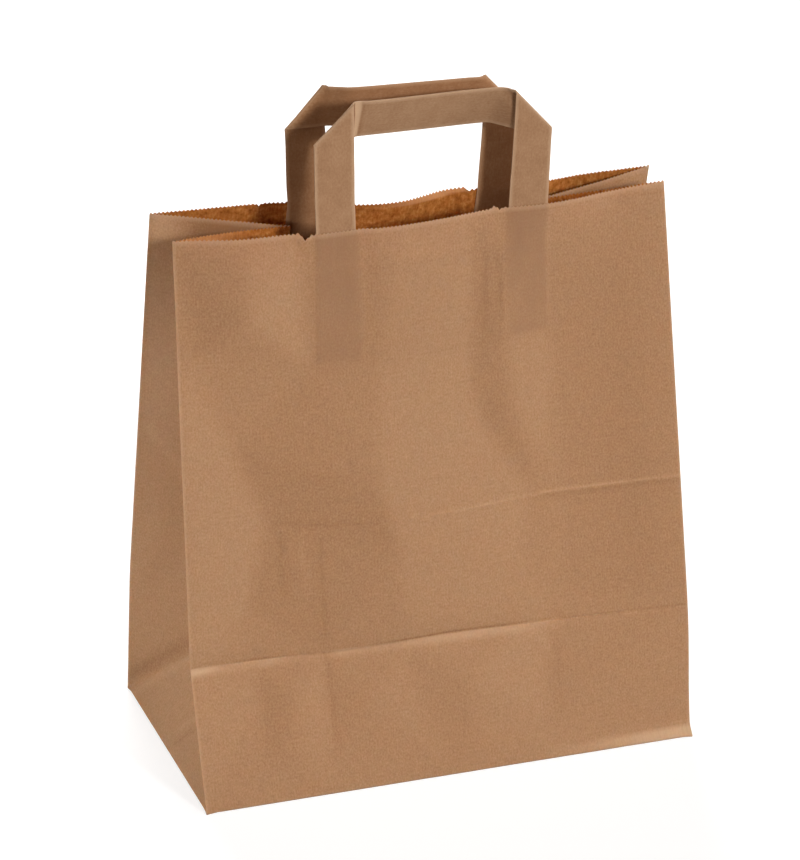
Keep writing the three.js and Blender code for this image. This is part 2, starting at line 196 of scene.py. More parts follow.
@dataclass(frozen=True)
class Crease:
    """A ridge or valley on a sheet along a path of (place along, place up, strength) points.

    A positive rise stands out of the sheet and a negative one goes in. It fades over its reach.
    """

    rise: float
    reach: float
    path: tuple[tuple[float, float, float], ...]

    def lift(self, along: Array, up: Array, girth: float) -> Array:
        """Height of the crease at places on a sheet that closes on itself.

        Args:
            along: Places along the sheet.
            up: Places up the sheet.
            girth: Length after which the sheet meets itself.

        Returns:
            Heights out of the sheet.
        """
        nearest = np.full(along.shape, np.inf)
        strength = np.zeros(along.shape)
        for (a0, v0, w0), (a1, v1, w1) in zip(self.path, self.path[1:]):
            offset = wrapped(along - a0, girth)
            run, climb = a1 - a0, v1 - v0
            share = np.clip((offset * run + (up - v0) * climb) / (run * run + climb * climb), 0.0, 1.0)
            away = np.hypot(offset - share * run, up - v0 - share * climb)
            closer = away < nearest
            nearest = np.where(closer, away, nearest)
            strength = np.where(closer, mix(w0, w1, share), strength)
        return self.rise * strength * np.clip(1.0 - nearest / self.reach, 0.0, 1.0) ** 2


@dataclass(frozen=True)
class Facets:
    """Flat facets that a panel has buckled into, with sharp lines between them.

    Runs are rows of (place along, place up, height) points whose joining lines stay edges. Outside their hull the
    paper is smooth.
    """

    runs: tuple[tuple[tuple[float, float, float], ...], ...]
    softness: float = 0.0022

    def triangles(self) -> list[tuple[tuple[float, float, float], ...]]:
        """Join the points to triangles.

        Returns:
            Three corners for each triangle, as place along, place up and height.
        """
        points: list[tuple[float, float, float]] = []
        edges: list[tuple[int, int]] = []
        for run in self.runs:
            numbers = []
            for point in run:
                if point not in points:
                    points.append(point)
                numbers.append(points.index(point))
            edges.extend(zip(numbers, numbers[1:]))
        flat = [Vector(point[:2]) for point in points]
        places, _, faces, origins, _, _ = delaunay_2d_cdt(flat, edges, [], 0, ONE_POINT)
        heights = [points[origin[0]][2] for origin in origins]
        return [tuple((places[i].x, places[i].y, heights[i]) for i in face) for face in faces]

    def sample(self, along: Array, up: Array, blur: float) -> tuple[Array, Array]:
        """Height and slope of the facets at places on a panel.

        Args:
            along: Places along the panel.
            up: Places up it.
            blur: How far each value is blurred to all sides.

        Returns:
            Heights out of the panel and slopes along it.
        """
        height, slope = np.zeros(along.shape), np.zeros(along.shape)
        triangles = self.triangles()
        turns = [math.radians(angle) for angle in range(0, 360, 45)]
        steps = [(0.0, 0.0)] + [(math.cos(turn), math.sin(turn)) for turn in turns]
        for step_along, step_up in steps:
            a, v = along + step_along * blur, up + step_up * blur
            for (a0, v0, h0), (a1, v1, h1), (a2, v2, h2) in triangles:
                area = (a1 - a0) * (v2 - v0) - (a2 - a0) * (v1 - v0)
                if abs(area) < NO_AREA:
                    continue
                first = ((a - a0) * (v2 - v0) - (a2 - a0) * (v - v0)) / area
                second = ((a1 - a0) * (v - v0) - (a - a0) * (v1 - v0)) / area
                within = (first >= 0) & (second > 0) & (first + second <= 1)
                height += within * (h0 + first * (h1 - h0) + second * (h2 - h0)) / len(steps)
                slope += within * ((h1 - h0) * (v2 - v0) - (h2 - h0) * (v1 - v0)) / area / len(steps)
        return height, slope

    def lift(self, along: Array, up: Array) -> Array:
        """Heights of the facets at places on a panel."""
        return self.sample(along, up, self.softness)[0]


@dataclass(frozen=True)
class UprightFold:
    """An upright fold that starts at a bottom corner and leans inwards, in degrees, less or more above the crease."""

    x: float
    y: float
    low: float
    high: float

    def at(self, up: Array, half: float) -> Array:
        """Points on the fold at distances up the sheet.

        Args:
            up: Distances up the sheet.
            half: Height of the bottom crease.

        Returns:
            One point for each distance.
        """
        lower = np.minimum(up, half)
        upper = up - lower
        low, high = math.radians(self.low), math.radians(self.high)
        run = lower * math.sin(low) + upper * math.sin(high)
        rise = lower * math.cos(low) + upper * math.cos(high)
        return np.stack([np.full(up.shape, self.x), self.y - math.copysign(1.0, self.y) * run, rise], axis=1)


@dataclass(frozen=True)
class Swell:
    """A soft swell of a panel towards the front at the mouth, which fades below it, a local one faster."""

    place: float
    reach: float
    rise: float
    fade: float = 1.0

    def at(self, along: Array, rise_share: Array) -> Array:
        """Height of the swell at places from the panel's left fold and shares of the way up to the mouth."""
        away = np.minimum(1.0, np.abs(along - self.place) / self.reach)
        return self.rise * np.cos(away * math.pi / 2) ** 2 * rise_share**self.fade


@dataclass(frozen=True)
class Leg:
    """One leg of a handle: rise above the mouth, lean to the back and splay in degrees, and the bar's stand-off.

    The bar leaves the leg along a ramp of a length of its own past the leg's inner edge. A leg can be turned about its
    own line, as a slope, and a stiff one holds the panel straight behind it at the mouth. The bar's top dips by a
    length at the left leg.
    """

    rise: float
    lean: float
    splay: float
    stand: float
    ramp: float
    turn: float = 0.0
    stiff: float = 0.0
    dip: float = 0.0


@dataclass(frozen=True)
class Panel:
    """One of the two wide panels, with the place of its handle."""

    name: str
    left: UprightFold
    right: UprightFold
    swells: tuple[Swell, ...]
    handle_left: float
    span: float
    bar_tip: float
    left_leg: Leg
    right_leg: Leg
    inward: int

    @property
    def handle_right(self) -> float:
        """Outer edge of the right leg."""
        return self.handle_left + self.span


@dataclass(frozen=True)
class Notch:
    """A bite out of the mouth's edge, or a lip that stands up from it, at a place round the sheet."""

    place: float
    half_width: float
    depth: float

    def drop(self, along: Array, girth: float) -> Array:
        """How far the edge drops at places round the sheet."""
        away = np.abs(wrapped(along - self.place, girth))
        return self.depth * np.clip(1.0 - away / self.half_width, 0.0, 1.0)


@dataclass(frozen=True)
class BagShape:
    """The folded bag as sizes and as a map from the flat sheet to its place in space.

    The sheet runs round from the front left fold: front panel, right gusset, back panel, left gusset.
    """

    width: float = 0.320
    depth: float = 0.175
    height: float = 0.350
    paper: float = 0.00015
    fit_gap: float = 0.0003
    gusset_tilt: float = 32.5
    gusset_slack: float = 0.002
    gusset_bow: float = 0.003
    left_drift: float = -0.0045
    right_drift: float = 0.002
    fold_radius: float = 0.0007
    edge_radius: float = 0.0012
    edge_reach: Ease = Ease(0.004, 0.010)
    strap: float = 0.025
    strap_thick: float = 0.0008
    fold_gap: float = 0.0008
    leg_glued: float = 0.077
    leg_bend: float = 0.048
    turn_fade: float = 0.020
    stiff_fade: float = 0.014
    stiff_from: float = 0.080
    stiff_to: float = 0.010
    patch_drop: float = 0.025
    patch_height: float = 0.060
    patch_margin: float = 0.004
    patch_ramp: float = 0.003
    impression: float = 0.168
    turn_in: float = 0.008
    front: Panel = Panel(
        name="front",
        left=UprightFold(-0.160, -0.0875, 22.0, 6.6),
        right=UprightFold(0.160, -0.0875, 11.8, 14.7),
        swells=(Swell(0.128, 0.130, 0.018), Swell(0.242, 0.052, 0.0091, 6.0), Swell(0.038, 0.038, 0.0055, 1.5)),
        handle_left=0.0843,
        span=0.1515,
        bar_tip=0.005,
        left_leg=Leg(0.077, 4.0, 0.2, 0.0065, 0.0065, stiff=1.0, dip=0.0030),
        right_leg=Leg(0.0725, -3.4, 0.4, 0.0115, 0.0100),
        inward=-1,
    )
    back: Panel = Panel(
        name="back",
        left=UprightFold(-0.160, 0.0875, 6.0, 12.2),
        right=UprightFold(0.160, 0.0875, 7.8, 12.3),
        swells=(Swell(0.1405, 0.076, 0.021), Swell(0.222, 0.048, 0.015)),
        handle_left=0.0845,
        span=0.1420,
        bar_tip=0.0025,
        left_leg=Leg(0.073, -2.0, 5.6, 0.0065, 0.0150, turn=-0.10),
        right_leg=Leg(0.072, 0.5, 1.3, 0.0008, 0.0100),
        inward=1,
    )

    @property
    def half(self) -> float:
        """Half of the gusset, and the height of the bottom crease."""
        return self.depth / 2

    @property
    def girth(self) -> float:
        """Length once round the tube."""
        return 2 * (self.width + self.depth)

    @property
    def corner_folds(self) -> tuple[float, ...]:
        """Places round the sheet of the four upright folds between panels and gussets."""
        return 0.0, self.width, self.width + self.depth, 2 * self.width + self.depth

    @property
    def centre_folds(self) -> tuple[float, ...]:
        """Places round the sheet of the gussets' centre folds."""
        return self.width + self.half, 2 * self.width + self.depth + self.half

    @property
    def leg_face(self) -> float:
        """Depth of a leg's face that lies on the panel."""
        return self.paper + self.fit_gap

    def to_fold(self, place: Array, folds: Sequence[float]) -> Array:
        """Distances round the sheet to the nearest one of some folds."""
        return np.min(np.abs(wrapped(place[:, None] - np.array(folds), self.girth)), axis=1)

    def unrolled(self, panel: Panel, place: Array) -> Array:
        """Turn distances from a panel's left fold into distances round the sheet, or back."""
        return place if panel is self.front else 2 * self.width + self.depth - place

    def rise_share(self, up: Array) -> Array:
        """Share of the way from the bottom crease to the mouth."""
        return np.maximum(0.0, up - self.half) / (self.height - self.half)

    def free_swell(self, panel: Panel, along: Array, up: Array) -> Array:
        """How far a panel without its handle stands towards the front."""
        share = self.rise_share(up)
        return sum(swell.at(along, share) for swell in panel.swells)

    def swell(self, panel: Panel, along: Array, up: Array) -> Array:
        """How far a panel stands towards the front.

        Args:
            panel: The panel.
            along: Distances from its left fold.
            up: Distances up the sheet.

        Returns:
            Distances towards the front.
        """
        total = self.free_swell(panel, along, up)
        centres = np.array([panel.handle_left + self.strap / 2, panel.handle_right - self.strap / 2])
        feet = self.free_swell(panel, centres, np.full(2, self.height))
        slope = (feet[1] - feet[0]) / (centres[1] - centres[0])
        for centre, leg in zip(centres, (panel.left_leg, panel.right_leg)):
            flat = self.free_swell(panel, np.full(up.shape, centre), up) + slope * (along - centre)
            near = 1 - smooth(np.abs(along - centre), self.strap / 2, self.strap / 2 + self.stiff_fade)
            high = smooth(up, self.height - self.stiff_from, self.height - self.stiff_to)
            total = mix(total, flat, leg.stiff * near * high)
        return total

    def panel_face(self, panel: Panel, along: Array, up: Array) -> Array:
        """Points on the outer face of a panel.

        Args:
            panel: The panel.
            along: Distances from its left fold.
            up: Distances up the sheet.

        Returns:
            One point for each place.
        """
        left = panel.left.at(up, self.half)
        right = panel.right.at(up, self.half)
        points = mix(left, right, (along / self.width)[:, None])
        points[:, 1] -= self.swell(panel, along, up)
        return points

    def mitre(self, side: int) -> Array:
        """Top of a gusset's bottom triangle, where its folds meet."""
        tilt = math.radians(self.gusset_tilt)
        return np.array([side * (self.width / 2 - self.half * math.sin(tilt)), 0.0, self.half * math.cos(tilt)])

    def apex(self, side: int) -> Array:
        """Centre fold of a gusset at the mouth, at its paper's distance from both upright folds.

        Args:
            side: -1 for the left gusset and 1 for the right.

        Returns:
            The point.
        """
        top = np.array([self.height])
        folds = [panel.left if side < 0 else panel.right for panel in (self.front, self.back)]
        front_top, back_top = (fold.at(top, self.half)[0] for fold in folds)
        middle = (front_top + back_top) / 2
        half_mouth = np.linalg.norm(front_top - back_top) / 2
        reach = math.sqrt((self.half - self.gusset_slack) ** 2 - half_mouth**2)
        length = self.height - self.half
        mitre = self.mitre(side)
        across, down = abs(mitre[0] - middle[0]), middle[2] - mitre[2]
        span = math.hypot(across, down)
        along = (reach**2 - length**2 + span**2) / (2 * span)
        off = math.sqrt(reach**2 - along**2)
        inwards = (along * across + off * down) / span
        drop = (along * down - off * across) / span
        return np.array([middle[0] - side * inwards, middle[1], middle[2] - drop])

    def gusset_face(self, side: int, panel: Panel, out: Array, up: Array) -> Array:
        """Points on the outer face of one half of a gusset.

        Args:
            side: -1 for the left gusset and 1 for the right.
            panel: The panel that this half joins.
            out: Distances from that panel's fold towards the centre fold.
            up: Distances up the sheet.

        Returns:
            One point for each place.
        """
        other = self.back if panel is self.front else self.front
        fold = panel.left if side < 0 else panel.right
        far_fold = other.left if side < 0 else other.right
        share = (out / self.half)[:, None]
        rise = self.rise_share(up)[:, None]
        drift = self.left_drift if side < 0 else self.right_drift
        mitre, apex = self.mitre(side), self.apex(side)
        edge = fold.at(up, self.half)
        centre = mitre + (apex - mitre) * rise
        upper = mix(edge, centre, share)
        bow = 4 * self.gusset_bow * share * (1 - share) if panel is self.front else 0.0
        upper[:, 1:2] += rise * (bow - share * drift)
        zero, crease = np.zeros(1), np.array([self.half])
        corner = fold.at(zero, self.half)[0]
        to_mitre = mitre - corner
        to_crease = fold.at(crease, self.half)[0] - corner
        to_far = far_fold.at(zero, self.half)[0] - corner
        wing = corner + to_crease * ((up - out) / self.half)[:, None] + to_mitre * share
        middle = corner + to_mitre * (up / self.half)[:, None] + to_far * ((out - up) / self.depth)[:, None]
        lower = np.where((out <= up)[:, None], wing, middle)
        return np.where((up >= self.half)[:, None], upper, lower)

    def folded(self, around: Array, up: Array) -> Array:
        """The outer face of the sheet with sharp folds. Below 0 the sheet turns in under the bottom.

        Args:
            around: Distances round the sheet from the front left fold.
            up: Distances up the sheet.

        Returns:
            One point for each place.
        """
        place = np.mod(around, self.girth)
        height = np.maximum(up, 0.0)
        turned_in = np.maximum(-up, 0.0)
        points = np.zeros((place.size, 3))
        starts = (*self.corner_folds, math.inf)
        for region in range(4):
            inside = (place >= starts[region]) & (place < starts[region + 1])
            if not inside.any():
                continue
            along, rise = place[inside] - starts[region], height[inside]
            if region == 0:
                points[inside] = self.panel_face(self.front, along, rise)
            elif region == 2:
                points[inside] = self.panel_face(self.back, self.width - along, rise)
            else:
                side = 1 if region == 1 else -1
                first, second = (self.front, self.back) if region == 1 else (self.back, self.front)
                near = self.gusset_face(side, first, np.minimum(along, self.half), rise)
                far = self.gusset_face(side, second, np.minimum(self.depth - along, self.half), rise)
                points[inside] = np.where((along <= self.half)[:, None], near, far)
            inwards = ((0.0, 1.0), (-1.0, 0.0), (0.0, -1.0), (1.0, 0.0))[region]
            length = self.depth if region % 2 else self.width
            mitred = turned_in[inside] * np.clip(np.minimum(along, length - along) / self.turn_in, 0.0, 1.0)
            points[inside, 0] += inwards[0] * mitred
            points[inside, 1] += inwards[1] * mitred
        return points

    def rounded(self, around: Array, up: Array) -> Array:
        """The folded sheet with its folds rounded, by averaging over a small patch of the sheet.

        Args:
            around: Distances round the sheet.
            up: Distances up the sheet.

        Returns:
            One point for each place.
        """
        radius_up = self.fold_radius + self.edge_radius * self.edge_reach.fall(np.abs(up))
        steps = (-1.0, -0.5, 0.0, 0.5, 1.0)
        total = np.zeros((around.size, 3))
        for step_around in steps:
            for step_up in steps:
                total += self.folded(around + step_around * self.fold_radius, up + step_up * radius_up)
        return total / len(steps) ** 2

    def outward(self, around: Array, up: Array) -> Array:
        """Outward directions of the rounded sheet.

        Args:
            around: Distances round the sheet.
            up: Distances up the sheet.

        Returns:
            One unit vector for each place.
        """
        probe = 0.0015
        along = self.rounded(around + probe, up) - self.rounded(around - probe, up)
        upwards = self.rounded(around, up + probe) - self.rounded(around, up - probe)
        return unit(np.cross(along, upwards))

    def handle_sheet(self, panel: Panel, along: Array, up: Array) -> Array:
        """The panel's face below the mouth, and above it the curved sheet that the handle's legs follow.

        Args:
            panel: The panel.
            along: Distances from its left fold.
            up: Distances up the sheet and on past the mouth.

        Returns:
            One point for each place.
        """
        top = np.minimum(up, self.height)
        past = np.maximum(up - self.height, 0.0)
        points = self.panel_face(panel, along, top)
        left_leg = panel.handle_left + self.strap / 2
        right_leg = panel.handle_right - self.strap / 2
        share = (along - left_leg) / (right_leg - left_leg)
        ends = np.array([left_leg, right_leg])
        left_foot, right_foot = self.panel_face(panel, ends, np.full(2, self.height))
        chord = mix(left_foot, right_foot, share[:, None])
        half = self.strap / 2
        for leg, across in ((panel.left_leg, along - left_leg), (panel.right_leg, right_leg - along)):
            chord[:, 1] -= leg.turn * np.clip(across, -half, half) * (1 - smooth(across, half, half + self.turn_fade))
        bent = smooth(past, 0.0, self.leg_bend)[:, None]
        points = mix(points, chord, bent)
        lean = np.radians(mix(panel.left_leg.lean, panel.right_leg.lean, share))
        points[:, 1] += past * np.sin(lean)
        points[:, 2] += past * np.cos(lean)
        return points

    def inside_panel(self, panel: Panel, along: Array, up: Array, depth: Array) -> Array:
        """Points this deep inside the outer face of a panel or of its handle's sheet.

        Args:
            panel: The panel.
            along: Distances from its left fold.
            up: Distances up the sheet.
            depth: Distances in from the outer face.

        Returns:
            One point for each place.
        """
        probe = 0.0005
        across = self.handle_sheet(panel, along + probe, up) - self.handle_sheet(panel, along - probe, up)
        upwards = self.handle_sheet(panel, along, up + probe) - self.handle_sheet(panel, along, up - probe)
        normal = unit(np.cross(across, upwards))
        return self.handle_sheet(panel, along, up) + normal * (panel.inward * depth)[:, None]


def activate(piece: bpy.types.Object) -> None:
    """Select one object alone and make it the active one.

    Args:
        piece: The object.
    """
    bpy.ops.object.select_all(action="DESELECT")
    piece.select_set(True)
    bpy.context.view_layer.objects.active = piece


@dataclass(frozen=True)
class Area:
    """A flat part of a sheet that a scored line is kept to. Left as it is, it holds the whole sheet."""

    left: float = -math.inf
    right: float = math.inf
    foot: float = -math.inf
    top: float = math.inf

    def holds(self, along: Array, up: Array) -> Array:
        """Whether each place lies in the area."""
        return (along > self.left) & (along < self.right) & (up > self.foot) & (up < self.top)


class FlatSheet:
    """A flat grid at its cut size that can be scored, trimmed, folded and given its thickness."""

    def __init__(self, name: str, low: tuple[float, float], high: tuple[float, float], cells: tuple[int, int]) -> None:
        """Lay out the flat sheet.

        Args:
            name: Name of the piece.
            low: Its lowest flat corner.
            high: Its highest flat corner.
            cells: Cells along and up.
        """
        if bpy.context.mode != "OBJECT":
            bpy.ops.object.mode_set(mode="OBJECT")
        bpy.ops.object.select_all(action="DESELECT")
        centre = ((low[0] + high[0]) / 2, (low[1] + high[1]) / 2, 0.0)
        bpy.ops.mesh.primitive_grid_add(x_subdivisions=cells[0], y_subdivisions=cells[1], size=1.0, location=centre)
        self.piece: bpy.types.Object = bpy.context.active_object
        self.piece.name = name
        self.piece.data.name = name
        self.piece.scale = (high[0] - low[0], high[1] - low[1], 1.0)
        bpy.ops.object.transform_apply(location=True, rotation=True, scale=True)

    def places(self) -> tuple[Array, Array]:
        """Flat places of all points.

        Returns:
            Distances along and up the sheet.
        """
        points = self.piece.data.vertices
        flat = np.zeros(len(points) * 3)
        points.foreach_get("co", flat)
        along, up, _ = flat.reshape(-1, 3).T
        return along.copy(), up.copy()

    def pick(self, element: Element, chosen: Array) -> None:
        """Select some faces or edges and stay in edit mode.

        Args:
            element: What is selected.
            chosen: Whether each one is.
        """
        activate(self.piece)
        bpy.ops.object.mode_set(mode="EDIT")
        bpy.ops.mesh.select_mode(type=element.value)
        bpy.ops.mesh.select_all(action="DESELECT")
        bpy.ops.object.mode_set(mode="OBJECT")
        mesh = self.piece.data
        elements = mesh.polygons if element is Element.FACE else mesh.edges
        elements.foreach_set("select", chosen)
        bpy.ops.object.mode_set(mode="EDIT")

    def score(self, axis: Axis, point: tuple[float, float], only: Area = Area(), trim: bool = False) -> None:
        """Cut an edge across the sheet along a straight line, and drop what lies past it when trimming.

        Args:
            axis: Direction that the line is square to.
            point: A flat point on the line.
            only: Where the faces that are cut have their centres.
            trim: Whether to drop the side that the axis points to.
        """
        faces = self.piece.data.polygons
        centres = np.zeros(len(faces) * 3)
        faces.foreach_get("center", centres)
        along, up, _ = centres.reshape(-1, 3).T
        self.pick(Element.FACE, only.holds(along, up))
        bpy.ops.mesh.bisect(plane_co=(*point, 0.0), plane_no=axis.value, threshold=ON_LINE, clear_outer=trim)
        bpy.ops.object.mode_set(mode="OBJECT")

    def split_edge(self, level: float, cuts: int) -> None:
        """Add points on every edge that lies on a level, ready for a saw-tooth cut.

        Args:
            level: Distance up the sheet.
            cuts: Points added on each edge.
        """
        edges = self.piece.data.edges
        ends = np.zeros(len(edges) * 2, np.int32)
        edges.foreach_get("vertices", ends)
        on_level = np.abs(self.places()[1] - level) < ON_LINE
        self.pick(Element.EDGE, on_level[ends.reshape(-1, 2)].all(axis=1))
        bpy.ops.mesh.subdivide(number_cuts=cuts)
        bpy.ops.object.mode_set(mode="OBJECT")

    def note(self, name: str, values: Array) -> None:
        """Keep one number for each point, which a finish can read."""
        attribute = self.piece.data.attributes.new(name, "FLOAT", "POINT")
        attribute.data.foreach_set("value", values.astype(np.float32))

    def keep_flat(self, along: Array, up: Array) -> None:
        """Keep the flat places of all points, so that a grain can follow the paper.

        Args:
            along: Distances along the sheet.
            up: Distances up it.
        """
        attribute = self.piece.data.attributes.new("sheet", "FLOAT_VECTOR", "POINT")
        flat = np.stack([along, up, np.zeros_like(along)], axis=1)
        attribute.data.foreach_set("vector", flat.astype(np.float32).ravel())

    def fold_to(self, points: Array) -> None:
        """Move every point of the flat sheet to its folded place.

        Args:
            points: One place for each point.
        """
        mesh = self.piece.data
        mesh.vertices.foreach_set("co", points.astype(np.float32).ravel())
        mesh.update()

    def modify(self, kind: str, **settings: object) -> None:
        """Add a modifier, set it up and apply it.

        Args:
            kind: Type of the modifier.
            **settings: Properties to set.
        """
        activate(self.piece)
        bpy.ops.object.modifier_add(type=kind)
        modifier = self.piece.modifiers[-1]
        for key, value in settings.items():
            setattr(modifier, key, value)
        bpy.ops.object.modifier_apply(modifier=modifier.name)

    def thicken(self, thickness: float, offset: float, inner_finish: bool = False) -> None:
        """Give the sheet its thickness.

        Args:
            thickness: Thickness of the paper or strip.
            offset: -1 to go in from the face, 0 to go both ways and 1 to go out of it.
            inner_finish: Whether the inner face takes the piece's second finish.
        """
        self.modify("SOLIDIFY", thickness=thickness, offset=offset, material_offset=int(inner_finish))

    def soften(self, width: float, angle: float) -> None:
        """Round the piece's edges that are sharper than an angle a little."""
        self.modify("BEVEL", width=width, segments=2, limit_method="ANGLE", angle_limit=math.radians(angle))

    def shade(self, angle: float) -> None:
        """Shade the piece smoothly except across edges sharper than an angle."""
        activate(self.piece)
        bpy.ops.object.shade_smooth_by_angle(angle=math.radians(angle))

    def cover(self, finishes: Sequence[bpy.types.Material]) -> None:
        """Give the sheet its finishes, the outer one first."""
        for finish in finishes:
            self.piece.data.materials.append(finish)

    def dress(self, slot: Slot, *replaces: str) -> bpy.types.Object:
        """Set the finished piece on the bag.

        Args:
            slot: Not used.
            *replaces: Solids that the piece stands for.

        Returns:
            The piece.
        """
        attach(self.piece, "root")
        if replaces:
            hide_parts(*replaces)
        return self.piece


def linear(tone: tuple[int, int, int]) -> tuple[float, float, float, float]:
    """Turn a colour as seen on a screen into the linear one that a shader takes, by the sRGB curve.

    Args:
        tone: Red, green and blue from 0 to 255.

    Returns:
        Linear red, green and blue, and an alpha of 1.
    """
    values = [part / 255 for part in tone]
    parts = [part / 12.92 if part <= 0.04045 else ((part + 0.055) / 1.055) ** 2.4 for part in values]
    return (parts[0], parts[1], parts[2], 1.0)


class Nodes:
    """The node tree of a material or of the world, with short ways to add and join nodes."""

    def __init__(self, owner: bpy.types.Material | bpy.types.World) -> None:
        """Start from the nodes that the owner comes with.

        Args:
            owner: The material or the world.
        """
        owner.use_nodes = True
        self.tree = owner.node_tree

    def given(self, name: str) -> bpy.types.Node:
        """One of the nodes that the tree came with."""
        return self.tree.nodes[name]

    def fill(self, node: bpy.types.Node, inputs: dict[str | int, object]) -> None:
        """Give inputs of a node their values, or link them.

        Args:
            node: The node.
            inputs: Number, colour or socket for each input's name or number.
        """
        for key, value in inputs.items():
            if isinstance(value, bpy.types.NodeSocket):
                self.tree.links.new(value, node.inputs[key])
            else:
                node.inputs[key].default_value = value

    def add(self, kind: str, inputs: dict[str | int, object], **settings: object) -> bpy.types.Node:
        """Add a node, set its properties and fill its inputs.

        Args:
            kind: Node type.
            inputs: Number, colour or socket for each input's name or number.
            **settings: Properties to set.

        Returns:
            The new node.
        """
        node = self.tree.nodes.new(kind)
        for key, value in settings.items():
            setattr(node, key, value)
        self.fill(node, inputs)
        return node

    def attribute(self, name: str, output: str = "Fac") -> bpy.types.NodeSocket:
        """Read one of the piece's own attributes."""
        return self.add("ShaderNodeAttribute", {}, attribute_name=name).outputs[output]

    def math(self, operation: str, first: object, second: object) -> bpy.types.NodeSocket:
        """Join two numbers or sockets by an operation."""
        return self.add("ShaderNodeMath", {0: first, 1: second}, operation=operation).outputs[0]

    def limit(self, value: bpy.types.NodeSocket) -> bpy.types.NodeSocket:
        """Keep a value between 0 and 1."""
        return self.math("MINIMUM", self.math("MAXIMUM", value, 0.0), 1.0)

    def blend(self, share: bpy.types.NodeSocket, first: object, second: object) -> bpy.types.NodeSocket:
        """Blend two colours or sockets by a share of the second."""
        return self.add("ShaderNodeMix", {"Factor": share, 6: first, 7: second}, data_type="RGBA").outputs[2]

    def noise(self, place: bpy.types.NodeSocket, scale: tuple[float, float], detail: float) -> bpy.types.NodeSocket:
        """Noise on the flat sheet.

        Args:
            place: Socket that gives the flat place.
            scale: Grains for each metre along and up the sheet.
            detail: Octaves.

        Returns:
            The noise's socket, about 0.5 on average.
        """
        mapping = self.add("ShaderNodeMapping", {"Scale": (*scale, 1.0), "Vector": place})
        inputs = {"Scale": 1.0, "Detail": detail, "Roughness": 0.62, "Vector": mapping.outputs["Vector"]}
        return self.add("ShaderNodeTexNoise", inputs).outputs["Fac"]

    def seen(self) -> bpy.types.NodeSocket:
        """Tell whether the camera sees a place straight, mirrored or through something.

        Returns:
            A socket that is 1 where it does.
        """
        rays = self.add("ShaderNodeLightPath", {}).outputs
        straight = self.math("MAXIMUM", rays["Is Camera Ray"], rays["Is Glossy Ray"])
        return self.math("MAXIMUM", straight, rays["Is Transmission Ray"])


@dataclass(frozen=True)
class KraftFinish:
    """Brown kraft paper: a warm tone, cloudy formation, fine grain, fibres up the sheet and a matt surface.

    Cloud, grain and fibre are counts for each metre. A shaded finish adds the painted shade and light that the piece
    notes as shade, a backed one adds painted shade where something is glued behind it, and a finish with a pale
    tone goes pale where the piece's note named by paled_by says so, for rubbing, painted highlights and painted light.
    """

    name: str
    tone: tuple[int, int, int]
    dark: tuple[int, int, int]
    light: tuple[int, int, int]
    cloud: float
    grain: float
    fibre: float
    contrast: float
    mottle: float
    roughness: float
    relief: float
    through: float = 0.0
    shaded: bool = False
    backed: tuple[int, int, int] | None = None
    wear_and_highlight_tone: tuple[int, int, int] | None = None
    paled_by: str = "wear_and_highlight"
    grain_stretch: float = 0.7
    fibre_stretch: float = 0.08
    fibre_share: float = 0.20
    pale_even: float = 0.6
    pale_fibre: float = 0.8
    matt_spread: float = 0.2
    specular: float = 0.08
    bump_height: float = 0.0002
    through_radius: tuple[float, float, float] = (1.0, 0.60, 0.32)
    through_scale: float = 0.00025

    def make(self) -> bpy.types.Material:
        """Make the material.

        Returns:
            The finished material.
        """
        material = bpy.data.materials.new(self.name)
        nodes = Nodes(material)
        place = nodes.attribute("sheet", "Vector")
        cloud = nodes.noise(place, (self.cloud, self.cloud), 3.0)
        grain = nodes.noise(place, (self.grain, self.grain * self.grain_stretch), 4.0)
        fibre = nodes.noise(place, (self.fibre, self.fibre * self.fibre_stretch), 3.0)
        mixed = nodes.math("MULTIPLY", cloud, self.mottle)
        for noise, share in ((grain, 1 - self.fibre_share - self.mottle), (fibre, self.fibre_share)):
            mixed = nodes.math("ADD", mixed, nodes.math("MULTIPLY", noise, share))
        centred = nodes.math("MULTIPLY", nodes.math("SUBTRACT", mixed, 0.5), self.contrast)
        # Painted shade and light from the piece's shade note.
        if self.shaded:
            centred = nodes.math("ADD", centred, nodes.attribute("shade"))
        colour = nodes.blend(nodes.limit(centred), linear(self.tone), linear(self.light))
        colour = nodes.blend(nodes.limit(nodes.math("MULTIPLY", centred, -1.0)), colour, linear(self.dark))
        # Painted shade where pieces are glued behind the paper.
        if self.backed is not None:
            colour = nodes.blend(nodes.attribute("backing"), colour, linear(self.backed))
        # Paler for rubbing and painted highlights, and on the inside for painted light.
        if self.wear_and_highlight_tone is not None:
            uneven = nodes.math("ADD", nodes.math("MULTIPLY", fibre, self.pale_fibre), self.pale_even)
            wear_and_highlight = nodes.limit(nodes.math("MULTIPLY", nodes.attribute(self.paled_by), uneven))
            colour = nodes.blend(wear_and_highlight, colour, linear(self.wear_and_highlight_tone))
        bump = nodes.add("ShaderNodeBump", {"Strength": self.relief, "Distance": self.bump_height, "Height": mixed})
        matt = nodes.math("MULTIPLY", grain, self.matt_spread)
        nodes.fill(nodes.given("Principled BSDF"), {
            "Base Color": colour,
            "Normal": bump.outputs["Normal"],
            "Roughness": nodes.math("ADD", matt, self.roughness - self.matt_spread / 2),
            "Specular IOR Level": self.specular,
            "Subsurface Weight": self.through,
            "Subsurface Radius": self.through_radius,
            "Subsurface Scale": self.through_scale,
        })
        return material


